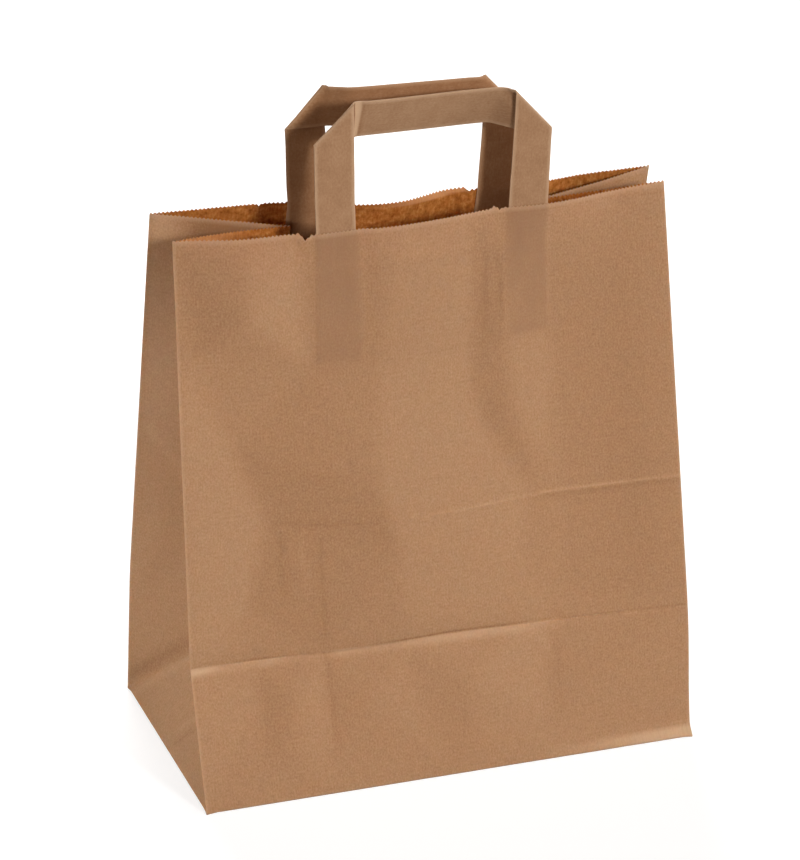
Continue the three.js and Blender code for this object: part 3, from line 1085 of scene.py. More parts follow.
@dataclass(frozen=True)
class KraftFinishes:
    """All the kraft papers on the bag."""

    outside: KraftFinish = KraftFinish(
        name="kraft_outside", tone=(178, 137, 102), dark=(150, 110, 77), light=(200, 162, 127),
        cloud=210.0, grain=960.0, fibre=1300.0, contrast=3.9, mottle=0.16, roughness=0.72, relief=0.10, through=0.9,
        shaded=True, backed=(158, 119, 89), wear_and_highlight_tone=(206, 172, 140))
    # The inside is the rougher side of the paper; its tone is also darker and oranger as painted shade of the interior,
    # and its pale tone is painted light.
    inside: KraftFinish = KraftFinish(
        name="kraft_inside_painted_shade", tone=(172, 108, 49), dark=(116, 62, 21), light=(204, 148, 85),
        cloud=230.0, grain=600.0, fibre=900.0, contrast=5.6, mottle=0.44, roughness=0.9, relief=0.3, through=0.9,
        wear_and_highlight_tone=(198, 146, 99), paled_by="lip")
    strip: KraftFinish = KraftFinish(
        name="kraft_strip", tone=(163, 124, 92), dark=(136, 98, 69), light=(184, 147, 114),
        cloud=95.0, grain=820.0, fibre=1400.0, contrast=3.4, mottle=0.32, roughness=0.7, relief=0.10, shaded=True,
        wear_and_highlight_tone=(206, 172, 140))
    # Painted shade: a darker copy of the strip for the back handle, which stands in the front handle's shade.
    back_strip: KraftFinish = replace(
        strip, name="kraft_back_strip", tone=(156, 114, 80), dark=(130, 90, 60), light=(178, 138, 104),
        wear_and_highlight_tone=(200, 162, 128))
    patch: KraftFinish = KraftFinish(
        name="kraft_patch", tone=(176, 122, 76), dark=(140, 88, 48), light=(204, 152, 104),
        cloud=240.0, grain=800.0, fibre=1000.0, contrast=2.4, mottle=0.34, roughness=0.88, relief=0.25)


@dataclass(frozen=True)
class BagSheet:
    """The one sheet of kraft that makes both panels and both gussets, lapped and glued up the back.

    Lines are scored: rows from the foot, the crease, the impression or the mouth, and uprights from the front left
    fold. The roll is how far the front stands back above its lower right edge, which has rolled out a little.
    """

    shape: BagShape
    seam_start: float = 0.525
    seam_lap: float = 0.020
    seam_lift: float = 0.00035
    seam_edge: float = 0.001
    column: float = 0.0025
    rows: int = 88
    tooth: float = 0.0011
    pitch: float = 0.0025
    tooth_points: int = 3
    tooth_room: float = 0.0016
    smooth_angle: float = 50.0
    foot_lines: tuple[float, ...] = (0.0, -0.0012, 0.0012, 0.0026, 0.0055)
    crease_lines: tuple[float, ...] = (-0.003, -0.0012, 0.0, 0.0012, 0.003)
    impression_lines: tuple[float, ...] = (-0.0015, 0.0, 0.0015)
    front_crease_lines: tuple[float, ...] = (-0.0042, -0.0022, -0.0007, 0.0005, 0.0009, 0.0018, 0.0024)
    front_impression_lines: tuple[float, ...] = (-0.0024, -0.0008, 0.0008, 0.0024, 0.156, 0.158)
    front_foot_lines: tuple[float, ...] = (0.0004, 0.0013)
    front_uprights: tuple[float, ...] = (0.0605, 0.073, 0.0842, 0.0858, 0.1945, 0.204)
    upright_half: float = 0.0008
    fold_half: float = 0.0007
    lip_lines: tuple[float, ...] = (-0.0048, -0.0034, -0.0022)
    lip_area: Area = Area(0.610, 0.700)
    lip_height: float = 0.0036
    lip_sag: float = 0.0010
    lip_sag_in: Ease = Ease(0.622, 0.640)
    lip_blur: float = 0.0012
    # Painted light on the inside, on the back edge's bent-back lip and on the left gusset's inner face at the mouth;
    # the inside finish reads it as its lip note.
    lip_painted_light: SoftArea = SoftArea(0.85, (0.6180, 0.6192, 0.652, 0.690))
    left_painted_light: SoftArea = SoftArea(0.55, (0.925, 0.965, 2.0, 3.0), (0.315, 0.330, 2.0, 3.0))
    roll: SoftArea = SoftArea(0.0035, (0.185, 0.330, 0.325, 0.365), (0.0005, 0.0080, 0.012, 0.080))
    waves: tuple[tuple[float, float, float], ...] = ((0.00030, 0.075, 1.3), (0.00012, 0.031, 4.1))
    buckle: float = 0.55
    fold_relief: float = 0.15
    fold_reach: Ease = Ease(0.0, 0.006)
    foot_reach: Ease = Ease(0.0, 0.010)
    behind_top: float = 0.001
    behind_fade: float = 0.020
    leg_imprint: float = 0.0007
    patch_imprint: float = 0.000175
    leg_side: Ease = Ease(0.0, 0.002)
    leg_foot: float = 0.004
    patch_side: Ease = Ease(0.006, 0.008)
    patch_end: Ease = Ease(-0.001, 0.001)
    # Painted shade behind the glued legs: an even share, streaks, and more towards the mouth.
    backing_even: float = 0.25
    backing_streaks: float = 0.45
    backing_high: float = 0.30
    backing_rise: Ease = Ease(0.290, 0.345)
    patch_shows: float = 0.10
    # Painted shade: how strongly a facet's slope darkens or lightens it, and how far that is blurred.
    facet_shade_gain: float = 1.5
    facet_shade_blur: float = 0.0050
    # Painted light on the left gusset's upper part, and painted shade on both gussets' inner faces at the mouth.
    gusset_painted_light_and_shade: tuple[SoftArea, ...] = (
        SoftArea(0.60, (0.815, 0.819, 2.0, 3.0), (0.150, 0.270, 2.0, 3.0)),
        SoftArea(-1.7, (0.822, 0.855, 0.9858, 0.9862), (0.308, 0.336, 2.0, 3.0)),
        SoftArea(-0.7, (0.3238, 0.3242, 0.450, 0.488), (0.308, 0.336, 2.0, 3.0)),
    )
    # Paler along the upright folds: rubbed, and a painted highlight of their rounding.
    fold_wear_and_highlight: float = 0.35
    fold_worn: Ease = Ease(0.0004, 0.0016)
    # Painted highlight on the rolled-out strip at the front's lower right, and a paler bottom edge all round.
    foot_wear_and_highlight: tuple[SoftArea, ...] = (
        SoftArea(0.75, (0.215, 0.320, 2.0, 3.0), (-2.0, -1.0, 0.0045, 0.0085)),
        SoftArea(0.25, EVERYWHERE, (-2.0, -1.0, 0.0006, 0.002)),
    )
    # The mouth's cut edge is paler where the paper is cut and rubbed.
    cut_wear_and_highlight: float = 0.45
    cut_depth: float = 0.0014
    # Rows just below the bottom crease that take the painted highlight.
    crease_highlight_rows: Limits = (-0.0065, -0.0015, 0.0, 0.0008)
    notches: tuple[Notch, ...] = (
        Notch(0.0777, 0.0032, 0.0034),
        Notch(0.0745, 0.0030, -0.0006),
        Notch(0.2015, 0.0028, -0.0016),
        Notch(0.2052, 0.0020, 0.0010),
        Notch(0.7475, 0.0024, 0.0012),
        Notch(0.6185, 0.0016, 0.0012),
        Notch(0.3200, 0.0340, -0.0019),
        Notch(0.4950, 0.0320, -0.0014),
        Notch(0.5540, 0.0300, 0.0014),
    )
    front_facets: Facets = Facets((
        ((0.000, 0.000, 0.0), (0.080, 0.000, 0.0), (0.160, 0.000, 0.0), (0.240, 0.000, 0.0), (0.320, 0.000, 0.0)),
        ((0.000, 0.0875, 0.0), (0.040, 0.0875, -0.0017), (0.083, 0.0875, -0.0006), (0.135, 0.0875, 0.0006),
         (0.180, 0.0875, -0.0006), (0.230, 0.0875, -0.0028), (0.320, 0.0875, 0.0)),
        ((0.015, 0.273, -0.0014), (0.0314, 0.221, -0.0049), (0.051, 0.176, -0.0084), (0.0384, 0.1206, -0.0059),
         (0.0203, 0.0897, -0.0017)),
        ((0.079, 0.2665, -0.0008), (0.120, 0.2535, 0.0014), (0.1205, 0.187, 0.0031), (0.1324, 0.147, 0.0036),
         (0.135, 0.108, 0.0020)),
        ((0.1876, 0.321, -0.0042), (0.1835, 0.241, -0.0059), (0.196, 0.208, -0.0064), (0.2196, 0.173, -0.0064),
         (0.2135, 0.135, -0.0053), (0.230, 0.0945, -0.0034)),
        ((0.208, 0.318, -0.0017), (0.2057, 0.2815, -0.0017), (0.2098, 0.225, -0.0025), (0.2265, 0.185, -0.0050),
         (0.2424, 0.1668, -0.0055), (0.242, 0.1026, -0.0038)),
        ((0.238, 0.325, -0.0042), (0.238, 0.240, -0.0048)),
        ((0.042, 0.338, 0.0040), (0.040, 0.300, 0.0058), (0.014, 0.276, 0.0004)),
        ((0.0408, 0.064, -0.0031), (0.042, 0.020, -0.0008)),
        ((0.062, 0.060, 0.0008), (0.062, 0.020, 0.0003)),
        ((0.083, 0.058, -0.0014), (0.083, 0.028, -0.0008)),
        ((0.110, 0.055, 0.0011), (0.140, 0.055, -0.0003), (0.174, 0.058, 0.0025), (0.174, 0.020, 0.0008)),
        ((0.205, 0.0855, -0.0006), (0.223, 0.060, -0.0031), (0.224, 0.025, -0.0011)),
        ((0.000, 0.180, 0.0), (0.000, 0.273, 0.0), (0.000, 0.350, 0.0), (0.080, 0.350, 0.0), (0.135, 0.350, 0.0),
         (0.187, 0.350, -0.0008), (0.226, 0.350, 0.0), (0.320, 0.350, 0.0), (0.320, 0.260, 0.0), (0.320, 0.168, 0.0)),
    ))
    left_facets: Facets = Facets((
        ((0.815, 0.060, 0.0), (0.8325, 0.0875, 0.0), (0.9025, 0.0875, 0.0)),
        ((0.815, 0.196, 0.0), (0.838, 0.185, -0.0020), (0.862, 0.168, 0.0012), (0.900, 0.160, 0.0)),
        ((0.820, 0.330, 0.0), (0.842, 0.270, -0.0016), (0.838, 0.185, -0.0020)),
        ((0.862, 0.330, 0.0004), (0.866, 0.250, 0.0016), (0.862, 0.168, 0.0012)),
        ((0.836, 0.125, -0.0018), (0.858, 0.115, 0.0010)),
    ))
    back_facets: Facets = Facets((
        ((0.495, 0.0875, 0.0), (0.580, 0.0875, -0.0008), (0.690, 0.0875, 0.0004), (0.815, 0.0875, 0.0)),
        ((0.560, 0.320, -0.0010), (0.575, 0.230, -0.0040), (0.560, 0.130, -0.0026)),
        ((0.655, 0.310, 0.0010), (0.645, 0.220, 0.0028), (0.660, 0.120, 0.0016)),
        ((0.740, 0.300, -0.0016), (0.732, 0.200, -0.0038), (0.755, 0.110, -0.0020)),
        ((0.495, 0.200, 0.0), (0.495, 0.345, 0.0), (0.655, 0.345, 0.0), (0.815, 0.345, 0.0), (0.815, 0.200, 0.0)),
    ))
    lip: Facets = Facets((
        ((0.6765, 0.3512, 0.0), (0.6200, 0.3432, 0.0), (0.6200, 0.3512, 0.0036), (0.6765, 0.3512, 0.0)),
        ((0.6200, 0.3432, 0.0), (0.6185, 0.3512, 0.0)),
    ), softness=0.0006)
    creases: tuple[Crease, ...] = (
        Crease(-0.0013, 0.008, ((0.000, 0.0865, 1.2), (0.030, 0.0875, 1.1), (0.050, 0.0876, 0.6), (0.070, 0.0870, 0.6),
                                (0.095, 0.0858, 1.0), (0.131, 0.0873, 0.9), (0.163, 0.0886, 1.2), (0.196, 0.0878, 1.2),
                                (0.226, 0.0885, 0.7), (0.240, 0.0880, 0.3), (0.278, 0.0868, 0.25),
                                (0.320, 0.0865, 0.45))),
        Crease(0.0004, 0.004, ((0.054, 0.172, 0.5), (0.086, 0.169, 0.7), (0.120, 0.167, 0.4), (0.158, 0.166, 0.8),
                               (0.222, 0.1675, 0.9), (0.228, 0.1688, 1.1), (0.319, 0.1684, 1.2))),
        Crease(0.0006, 0.007, ((0.0835, 0.158, 0.8), (0.0845, 0.108, 1.0), (0.0840, 0.094, 0.6))),
        Crease(-0.0005, 0.006, ((0.060, 0.165, 0.8), (0.0605, 0.134, 1.0), (0.061, 0.124, 0.3))),
        Crease(0.0004, 0.006, ((0.070, 0.163, 0.6), (0.072, 0.140, 1.0), (0.074, 0.125, 0.3))),
        Crease(-0.0006, 0.005, ((0.2055, 0.318, 0.9), (0.2048, 0.300, 1.0), (0.204, 0.270, 0.4))),
        Crease(-0.0007, 0.010, ((0.940, 0.066, 0.7), (0.948, 0.045, 1.0), (0.952, 0.022, 0.6))),
        Crease(0.0006, 0.009, ((0.950, 0.070, 0.8), (0.958, 0.048, 1.0), (0.961, 0.030, 0.5))),
        Crease(-0.0011, 0.008, ((0.495, 0.0875, 1.0), (0.600, 0.0870, 0.8), (0.700, 0.0880, 1.1),
                                (0.815, 0.0875, 1.0))),
        Crease(0.0003, 0.004, ((0.495, 0.168, 1.0), (0.640, 0.1685, 0.7), (0.815, 0.168, 1.0))),
    )
    # Painted highlight below the front's bottom crease: its strength at places along the crease.
    crease_highlight: tuple[tuple[float, float], ...] = (
        (0.000, 0.75), (0.012, 0.60), (0.022, 0.20), (0.040, 0.22), (0.050, 0.36), (0.062, 0.12), (0.085, 0.12),
        (0.093, 0.40), (0.105, 0.28), (0.125, 0.22), (0.140, 0.34), (0.160, 0.42), (0.190, 0.42), (0.206, 0.36),
        (0.228, 0.12), (0.245, 0.0),
    )
    # Painted shading along creases and edges, as crease paths whose rise is a tone: negative ones are painted shade and
    # painted shadow lines, positive ones painted highlights.
    painted_shading_lines: tuple[Crease, ...] = (
        Crease(-0.9, 0.0016, ((0.028, 0.0884, 0.2), (0.048, 0.0884, 0.5), (0.068, 0.0878, 0.3), (0.086, 0.0868, 0.8),
                              (0.110, 0.0872, 1.0), (0.131, 0.0880, 1.0), (0.163, 0.0892, 1.1), (0.200, 0.0886, 0.9),
                              (0.222, 0.0890, 0.4), (0.240, 0.0888, 0.0))),
        Crease(-0.5, 0.0016, ((0.262, 0.0874, 0.3), (0.290, 0.0868, 0.5), (0.319, 0.0866, 1.0))),
        Crease(0.5, 0.0022, ((0.150, 0.1666, 0.2), (0.185, 0.1670, 0.6), (0.222, 0.1676, 0.5), (0.228, 0.1690, 1.1),
                             (0.319, 0.1686, 1.2))),
        Crease(-0.35, 0.0030, ((0.228, 0.1662, 0.8), (0.319, 0.1660, 0.8))),
        Crease(-0.18, 0.0060, ((0.054, 0.1720, 1.0), (0.086, 0.1690, 0.8), (0.120, 0.1672, 0.5))),
        Crease(-0.36, 0.0032, ((0.0835, 0.158, 0.6), (0.0845, 0.108, 1.0), (0.0840, 0.094, 0.5))),
        Crease(-0.40, 0.0032, ((0.0855, 0.084, 0.8), (0.0860, 0.050, 1.0), (0.0850, 0.022, 0.2))),
        Crease(-0.28, 0.0055, ((0.060, 0.165, 0.8), (0.0605, 0.134, 1.0), (0.061, 0.124, 0.2))),
        Crease(0.30, 0.0045, ((0.071, 0.160, 0.6), (0.073, 0.140, 1.0), (0.075, 0.125, 0.3))),
        Crease(-0.55, 0.0040, ((0.2035, 0.322, 0.6), (0.2048, 0.300, 1.0), (0.203, 0.268, 0.3))),
        Crease(-0.50, 0.0035, ((0.196, 0.326, 0.5), (0.1945, 0.300, 0.7), (0.194, 0.262, 0.2))),
        Crease(-0.30, 0.0020, ((0.090, 0.3255, 0.6), (0.145, 0.3250, 1.0), (0.190, 0.3255, 0.5))),
        Crease(-0.22, 0.0750, ((0.292, 0.115, 1.0), (0.288, 0.210, 1.0), (0.284, 0.300, 1.0))),
        Crease(-0.70, 0.0095, ((0.818, 0.012, 1.0), (0.850, 0.045, 0.9), (0.892, 0.088, 0.5))),
        Crease(0.35, 0.0070, ((0.824, 0.000, 0.8), (0.850, 0.030, 0.8), (0.892, 0.072, 0.6))),
        Crease(-1.00, 0.0011, ((0.001, 0.0003, 1.0), (0.200, 0.0003, 1.0), (0.319, 0.0003, 0.6))),
        Crease(0.38, 0.0050, ((0.931, 0.052, 0.3), (0.918, 0.034, 1.0), (0.904, 0.016, 0.6))),
        Crease(-0.45, 0.0045, ((0.934, 0.042, 0.3), (0.921, 0.024, 0.8), (0.909, 0.008, 1.0))),
        Crease(0.90, 0.0032, ((0.001, 0.0846, 1.0), (0.008, 0.0856, 0.9), (0.018, 0.0866, 0.0))),
        Crease(0.35, 0.0040, ((0.206, 0.0840, 0.4), (0.216, 0.0825, 0.9), (0.224, 0.0775, 1.0), (0.2275, 0.069, 0.4))),
        Crease(-0.25, 0.0040, ((0.231, 0.076, 0.6), (0.2325, 0.064, 1.0), (0.232, 0.040, 0.5), (0.231, 0.020, 0.2))),
        Crease(0.45, 0.0018, ((0.222, 0.0872, 0.3), (0.232, 0.0878, 1.0), (0.237, 0.0880, 0.2))),
        Crease(0.50, 0.0018, ((0.276, 0.0852, 0.4), (0.285, 0.0856, 1.0), (0.290, 0.0856, 0.2))),
        Crease(0.60, 0.0055, ((0.215, 0.0030, 0.2), (0.260, 0.0040, 0.7), (0.319, 0.0055, 1.0))),
        Crease(0.40, 0.0060, ((0.822, 0.200, 0.8), (0.846, 0.180, 0.8), (0.866, 0.160, 0.4))),
    )

    @property
    def facets(self) -> tuple[Facets, ...]:
        """Facets of the front panel, the left gusset and the back panel."""
        return self.front_facets, self.left_facets, self.back_facets

    def mouth(self, around: Array) -> Array:
        """Height of the cut edge, without its saw teeth."""
        return self.shape.height - sum(notch.drop(around, self.shape.girth) for notch in self.notches)

    def shade(self, around: Array, up: Array) -> Array:
        """Painted shade and light from the facets' slopes, along creases and on the gussets.

        Args:
            around: Distances round the sheet.
            up: Distances up the sheet.

        Returns:
            Shares of the light tone above zero and of the dark one below.
        """
        girth = self.shape.girth
        place = np.mod(around, girth)
        # Painted shade: each facet's slope along the panel darkens or lightens it, as if lit from one side.
        total = -self.facet_shade_gain * sum(facets.sample(place, up, self.facet_shade_blur)[1] for facets in self.facets)
        total += sum(line.lift(place, up, girth) for line in self.painted_shading_lines)
        return total + sum(area.at(place, up) for area in self.gusset_painted_light_and_shade)

    def leg_areas(self, around: Array, up: Array) -> tuple[Array, Array]:
        """Where handle legs and patches are glued behind the panels.

        Args:
            around: Distances round the sheet.
            up: Distances up the sheet.

        Returns:
            Shares of leg and of patch behind each place.
        """
        shape = self.shape
        place = np.mod(around, shape.girth)
        legs, patches = np.zeros(place.shape), np.zeros(place.shape)
        foot = shape.height - shape.leg_glued
        patch_top = shape.height - shape.patch_drop
        leg_tall = smooth(up, foot - self.leg_foot, foot)
        patch_tall = self.patch_end.within(up, patch_top - shape.patch_height, patch_top)
        for panel in (shape.front, shape.back):
            along = shape.unrolled(panel, place)
            on_panel = (along >= 0.0) & (along <= shape.width)
            for start in (panel.handle_left, panel.handle_right - shape.strap):
                leg_wide = self.leg_side.within(along, start, start + shape.strap)
                legs = np.maximum(legs, on_panel * leg_wide * leg_tall)
            patch_wide = self.patch_side.within(along, panel.handle_left, panel.handle_right)
            patches = np.maximum(patches, on_panel * patch_wide * patch_tall)
        return legs, patches

    def backing_shade(self, around: Array, up: Array) -> Array:
        """Painted shade where the glued legs and patches behind the paper block light through it, in uneven streaks.

        Args:
            around: Distances round the sheet.
            up: Distances up the sheet.

        Returns:
            Shares that show.
        """
        legs, patches = self.leg_areas(around, up)
        streaks = 0.5 + 0.5 * wave(4.0 * around, 0.6 * up, 0.040, 2.6)
        clouds = 0.5 + 0.5 * wave(around, up, 0.035, 0.8)
        glue = self.backing_even + self.backing_streaks * streaks * clouds + self.backing_high * self.backing_rise.rise(up)
        return np.clip(legs * glue + self.patch_shows * patches, 0.0, 1.0)

    def relief(self, around: Array, up: Array) -> Array:
        """How far the paper stands out of its smooth folded shape.

        Args:
            around: Distances round the sheet.
            up: Distances up the sheet.

        Returns:
            Heights out of the sheet.
        """
        shape = self.shape
        place = np.mod(around, shape.girth)
        legs, patches = self.leg_areas(around, up)
        total = sum(crease.lift(place, up, shape.girth) for crease in self.creases)
        total += self.buckle * sum(facets.lift(place, up) for facets in self.facets) + self.lip.lift(place, up)
        total += sum(height * wave(place, up, length, seed) for height, length, seed in self.waves)
        total += self.leg_imprint * legs + self.patch_imprint * patches
        nearest = shape.to_fold(place, shape.corner_folds + shape.centre_folds)
        return total * mix(self.fold_relief, 1.0, self.fold_reach.rise(nearest)) * self.foot_reach.rise(up)

    def behind(self, panel: Panel, along: Array, up: Array) -> Array:
        """Relief that a strip or patch behind a panel shares, fading out above the mouth.

        Args:
            panel: The panel.
            along: Distances from its left fold.
            up: Distances up the sheet.

        Returns:
            Heights out of the panel.
        """
        top = self.shape.height
        relief = self.relief(self.shape.unrolled(panel, along), np.minimum(up, top - self.behind_top))
        return relief * (1 - smooth(up, top, top + self.behind_fade))

    def painted_lit_inside(self, around: Array, up: Array) -> Array:
        """Painted light on the inside: on the back edge's bent-back lip and on the left gusset's inner face at the
        mouth.

        Args:
            around: Distances round the sheet.
            up: Distances up the sheet.

        Returns:
            Shares of the pale tone.
        """
        place = np.mod(around, self.shape.girth)
        low = self.mouth(around) - self.lip_height - self.lip_sag * self.lip_sag_in.rise(place)
        lip = self.lip_painted_light.at(place, up) * smooth(up, low, low + self.lip_blur)
        return lip + self.left_painted_light.at(place, up)

    def wear_and_highlight(self, around: Array, up: Array) -> Array:
        """Where the paper is paler: along folds, rubbed and with a painted highlight; along the bottom edge, with a
        painted highlight at its lower right; a painted highlight below the crease; and the rubbed cut edge.

        Args:
            around: Distances round the sheet.
            up: Distances up the sheet.

        Returns:
            Shares of paleness.
        """
        shape = self.shape
        place = np.mod(around, shape.girth)
        fold = self.fold_wear_and_highlight * self.fold_worn.fall(shape.to_fold(place, shape.corner_folds))
        foot = [area.at(place, up) * (place <= shape.width) for area in self.foot_wear_and_highlight]
        # Painted highlight just below the front's bottom crease.
        crease = np.interp(place, *zip(*self.crease_highlight)) * window(up - shape.half, self.crease_highlight_rows)
        cut = self.cut_wear_and_highlight * smooth(up - self.mouth(around), -self.cut_depth, -self.tooth)
        return np.clip(np.maximum.reduce([fold, *foot, crease, cut]), 0.0, 1.0)

    def score_lines(self, sheet: FlatSheet) -> None:
        """Score the flat sheet along its folds and wherever it bends sharply.

        Args:
            sheet: The flat sheet.
        """
        shape = self.shape
        front = Area(shape.girth, shape.girth + shape.width)
        rows = (
            (0.0, self.foot_lines, Area()),
            (shape.half, self.crease_lines, Area()),
            (shape.impression, self.impression_lines, Area()),
            (shape.half, self.front_crease_lines, front),
            (shape.impression, self.front_impression_lines, front),
            (0.0, self.front_foot_lines, front),
            (shape.height, self.lip_lines, self.lip_area),
        )
        for base, offsets, only in rows:
            for offset in offsets:
                sheet.score(Axis.UP, (0.0, base + offset), only)
        left, right = shape.girth - shape.depth, shape.girth + shape.width
        uprights = [(shape.girth + line, self.upright_half, front) for line in self.front_uprights]
        uprights += [(fold, self.fold_half, Area()) for fold in (left, shape.girth, right, right + shape.depth)]
        for place, offset, only in uprights:
            for side in (-offset, offset):
                sheet.score(Axis.ALONG, (place + side, 0.0), only)
        for start in (left, right):
            middle, end = start + shape.half, start + shape.depth
            sheet.score(Axis.RISING, (start, 0.0), Area(start, middle, 0.0, shape.half))
            sheet.score(Axis.FALLING, (end, 0.0), Area(middle, end, 0.0, shape.half))

    def build(self, finishes: Sequence[bpy.types.Material]) -> bpy.types.Object:
        """Lay out, score, fold and finish the sheet.

        Args:
            finishes: Outside and inside finishes.

        Returns:
            The finished piece.
        """
        shape = self.shape
        length = shape.girth + self.seam_lap
        end = self.seam_start + length
        cells = (round(length / self.column), self.rows)
        sheet = FlatSheet("bag_sheet", (self.seam_start, -shape.turn_in), (end, shape.height), cells)
        self.score_lines(sheet)
        sheet.split_edge(shape.height, self.tooth_points)
        along, up = sheet.places()
        mouth = self.mouth(along)
        teeth = self.tooth * (0.5 + 0.5 * np.cos((along - self.seam_start) * 2 * math.pi / self.pitch))
        up = np.where(up > shape.height - ON_LINE, mouth - teeth, np.minimum(up, mouth - self.tooth_room))
        sheet.keep_flat(along, up)
        # Notes for the finishes: painted shade behind glued pieces, rubbing with painted highlights, painted light on
        # the inside under the name lip, and painted shade and light of the facets.
        notes = {"backing": self.backing_shade, "wear_and_highlight": self.wear_and_highlight, "lip": self.painted_lit_inside, "shade": self.shade}
        for name, values in notes.items():
            sheet.note(name, values(along, up))
        lap = end - self.seam_lap
        lift = self.relief(along, up) + self.seam_lift * smooth(along, lap - self.seam_edge, lap)
        points = shape.rounded(along, up) + shape.outward(along, up) * lift[:, None]
        points[:, 1] += self.roll.at(np.mod(along, shape.girth), up)
        sheet.fold_to(points)
        sheet.cover(finishes)
        sheet.thicken(shape.paper, -1.0, inner_finish=True)
        sheet.shade(self.smooth_angle)
        return sheet.dress(Slot.BAG, "bag_body")


@dataclass(frozen=True)
class BlockBottom:
    """The squared-out bottom: two side flaps, the back flap over them and the front flap over both."""

    shape: BagShape
    lap: float = 0.025
    cell: float = 0.005
    inset: float = 0.0009
    lowest: float = 0.0003
    ply: float = 1.3
    waviness: float = 0.0002
    smooth_angle: float = 30.0

    @property
    def corner(self) -> tuple[float, float]:
        """Place of the flaps' back right corner."""
        return self.shape.width / 2 - self.inset, self.shape.half - self.inset

    def flap(self, name: str, front: bool, level: float, finishes: Sequence[bpy.types.Material]) -> bpy.types.Object:
        """One of the two long flaps, cut at 45 degrees from its corners.

        Args:
            name: Name of the piece.
            front: Whether it folds in from the front edge.
            level: Height of its lower face.
            finishes: Outside and inside finishes.

        Returns:
            The finished piece.
        """
        long, short = self.corner
        near, far = (-short, self.lap / 2) if front else (-self.lap / 2, short)
        cells = (round(2 * long / self.cell), round((far - near) / self.cell))
        sheet = FlatSheet(name, (-long, near), (long, far), cells)
        edge = -short if front else short
        right_cut, left_cut = (Axis.FALLING, Axis.RISING) if front else (Axis.RISING, Axis.FALLING)
        sheet.score(right_cut, (long, edge), trim=True)
        self.trim_left(sheet, left_cut, (-long, edge))
        return self.finish(sheet, level, self.waviness, finishes)

    def side_flap(self, name: str, side: int, level: float, finishes: Sequence[bpy.types.Material]) -> bpy.types.Object:
        """A side flap: the gusset's end, folded in flat as a triangle.

        Args:
            name: Name of the piece.
            side: -1 for the left and 1 for the right.
            level: Height of its lower face.
            finishes: Outside and inside finishes.

        Returns:
            The finished piece.
        """
        long, short = self.corner
        tip = long - short
        cells = (round((long - tip) / self.cell), round(2 * short / self.cell))
        sheet = FlatSheet(name, (tip, -short), (long, short), cells)
        self.trim_left(sheet, Axis.FALLING, (long, -short))
        self.trim_left(sheet, Axis.RISING, (long, short))
        if side < 0:
            self.turn(sheet)
        return self.finish(sheet, level, 0.0, finishes)

    def trim_left(self, sheet: FlatSheet, axis: Axis, point: tuple[float, float]) -> None:
        """Trim the side that an axis points away from, by turning the flat sheet round for the cut.

        Args:
            sheet: The flat flap.
            axis: Direction that the cut is square to.
            point: A flat point on the cut.
        """
        self.turn(sheet)
        sheet.score(axis, (-point[0], -point[1]), trim=True)
        self.turn(sheet)

    @staticmethod
    def turn(sheet: FlatSheet) -> None:
        """Turn a flat sheet half round about the origin."""
        sheet.piece.data.transform(Matrix.Rotation(math.pi, 4, "Z"))

    def finish(self, sheet: FlatSheet, level: float, waviness: float,
               finishes: Sequence[bpy.types.Material]) -> bpy.types.Object:
        """Set a flap at its level, turn its outside down, give it its thickness and dress it.

        Args:
            sheet: The flat flap.
            level: Height of its lower face.
            waviness: Height of its waves.
            finishes: Outside and inside finishes.

        Returns:
            The finished piece.
        """
        along, up = sheet.places()
        sheet.keep_flat(along, up)
        dip = waviness * wave(along, up, 0.06, 2.2)
        sheet.fold_to(np.stack([along, up, level + np.maximum(dip, 0.0)], axis=1))
        activate(sheet.piece)
        bpy.ops.object.mode_set(mode="EDIT")
        bpy.ops.mesh.select_all(action="SELECT")
        bpy.ops.mesh.flip_normals()
        bpy.ops.object.mode_set(mode="OBJECT")
        sheet.cover(finishes)
        sheet.thicken(self.shape.paper, -1.0, inner_finish=True)
        sheet.shade(self.smooth_angle)
        return sheet.dress(Slot.BAG)

    def build(self, finishes: Sequence[bpy.types.Material]) -> list[bpy.types.Object]:
        """Build the four flaps from the lowest up.

        Args:
            finishes: Outside and inside finishes.

        Returns:
            The finished pieces.
        """
        step = self.shape.paper * self.ply
        return [
            self.flap("bottom_front_flap", True, self.lowest, finishes),
            self.flap("bottom_back_flap", False, self.lowest + step, finishes),
            self.side_flap("bottom_left_flap", -1, self.lowest + 2 * step, finishes),
            self.side_flap("bottom_right_flap", 1, self.lowest + 2 * step, finishes),
        ]


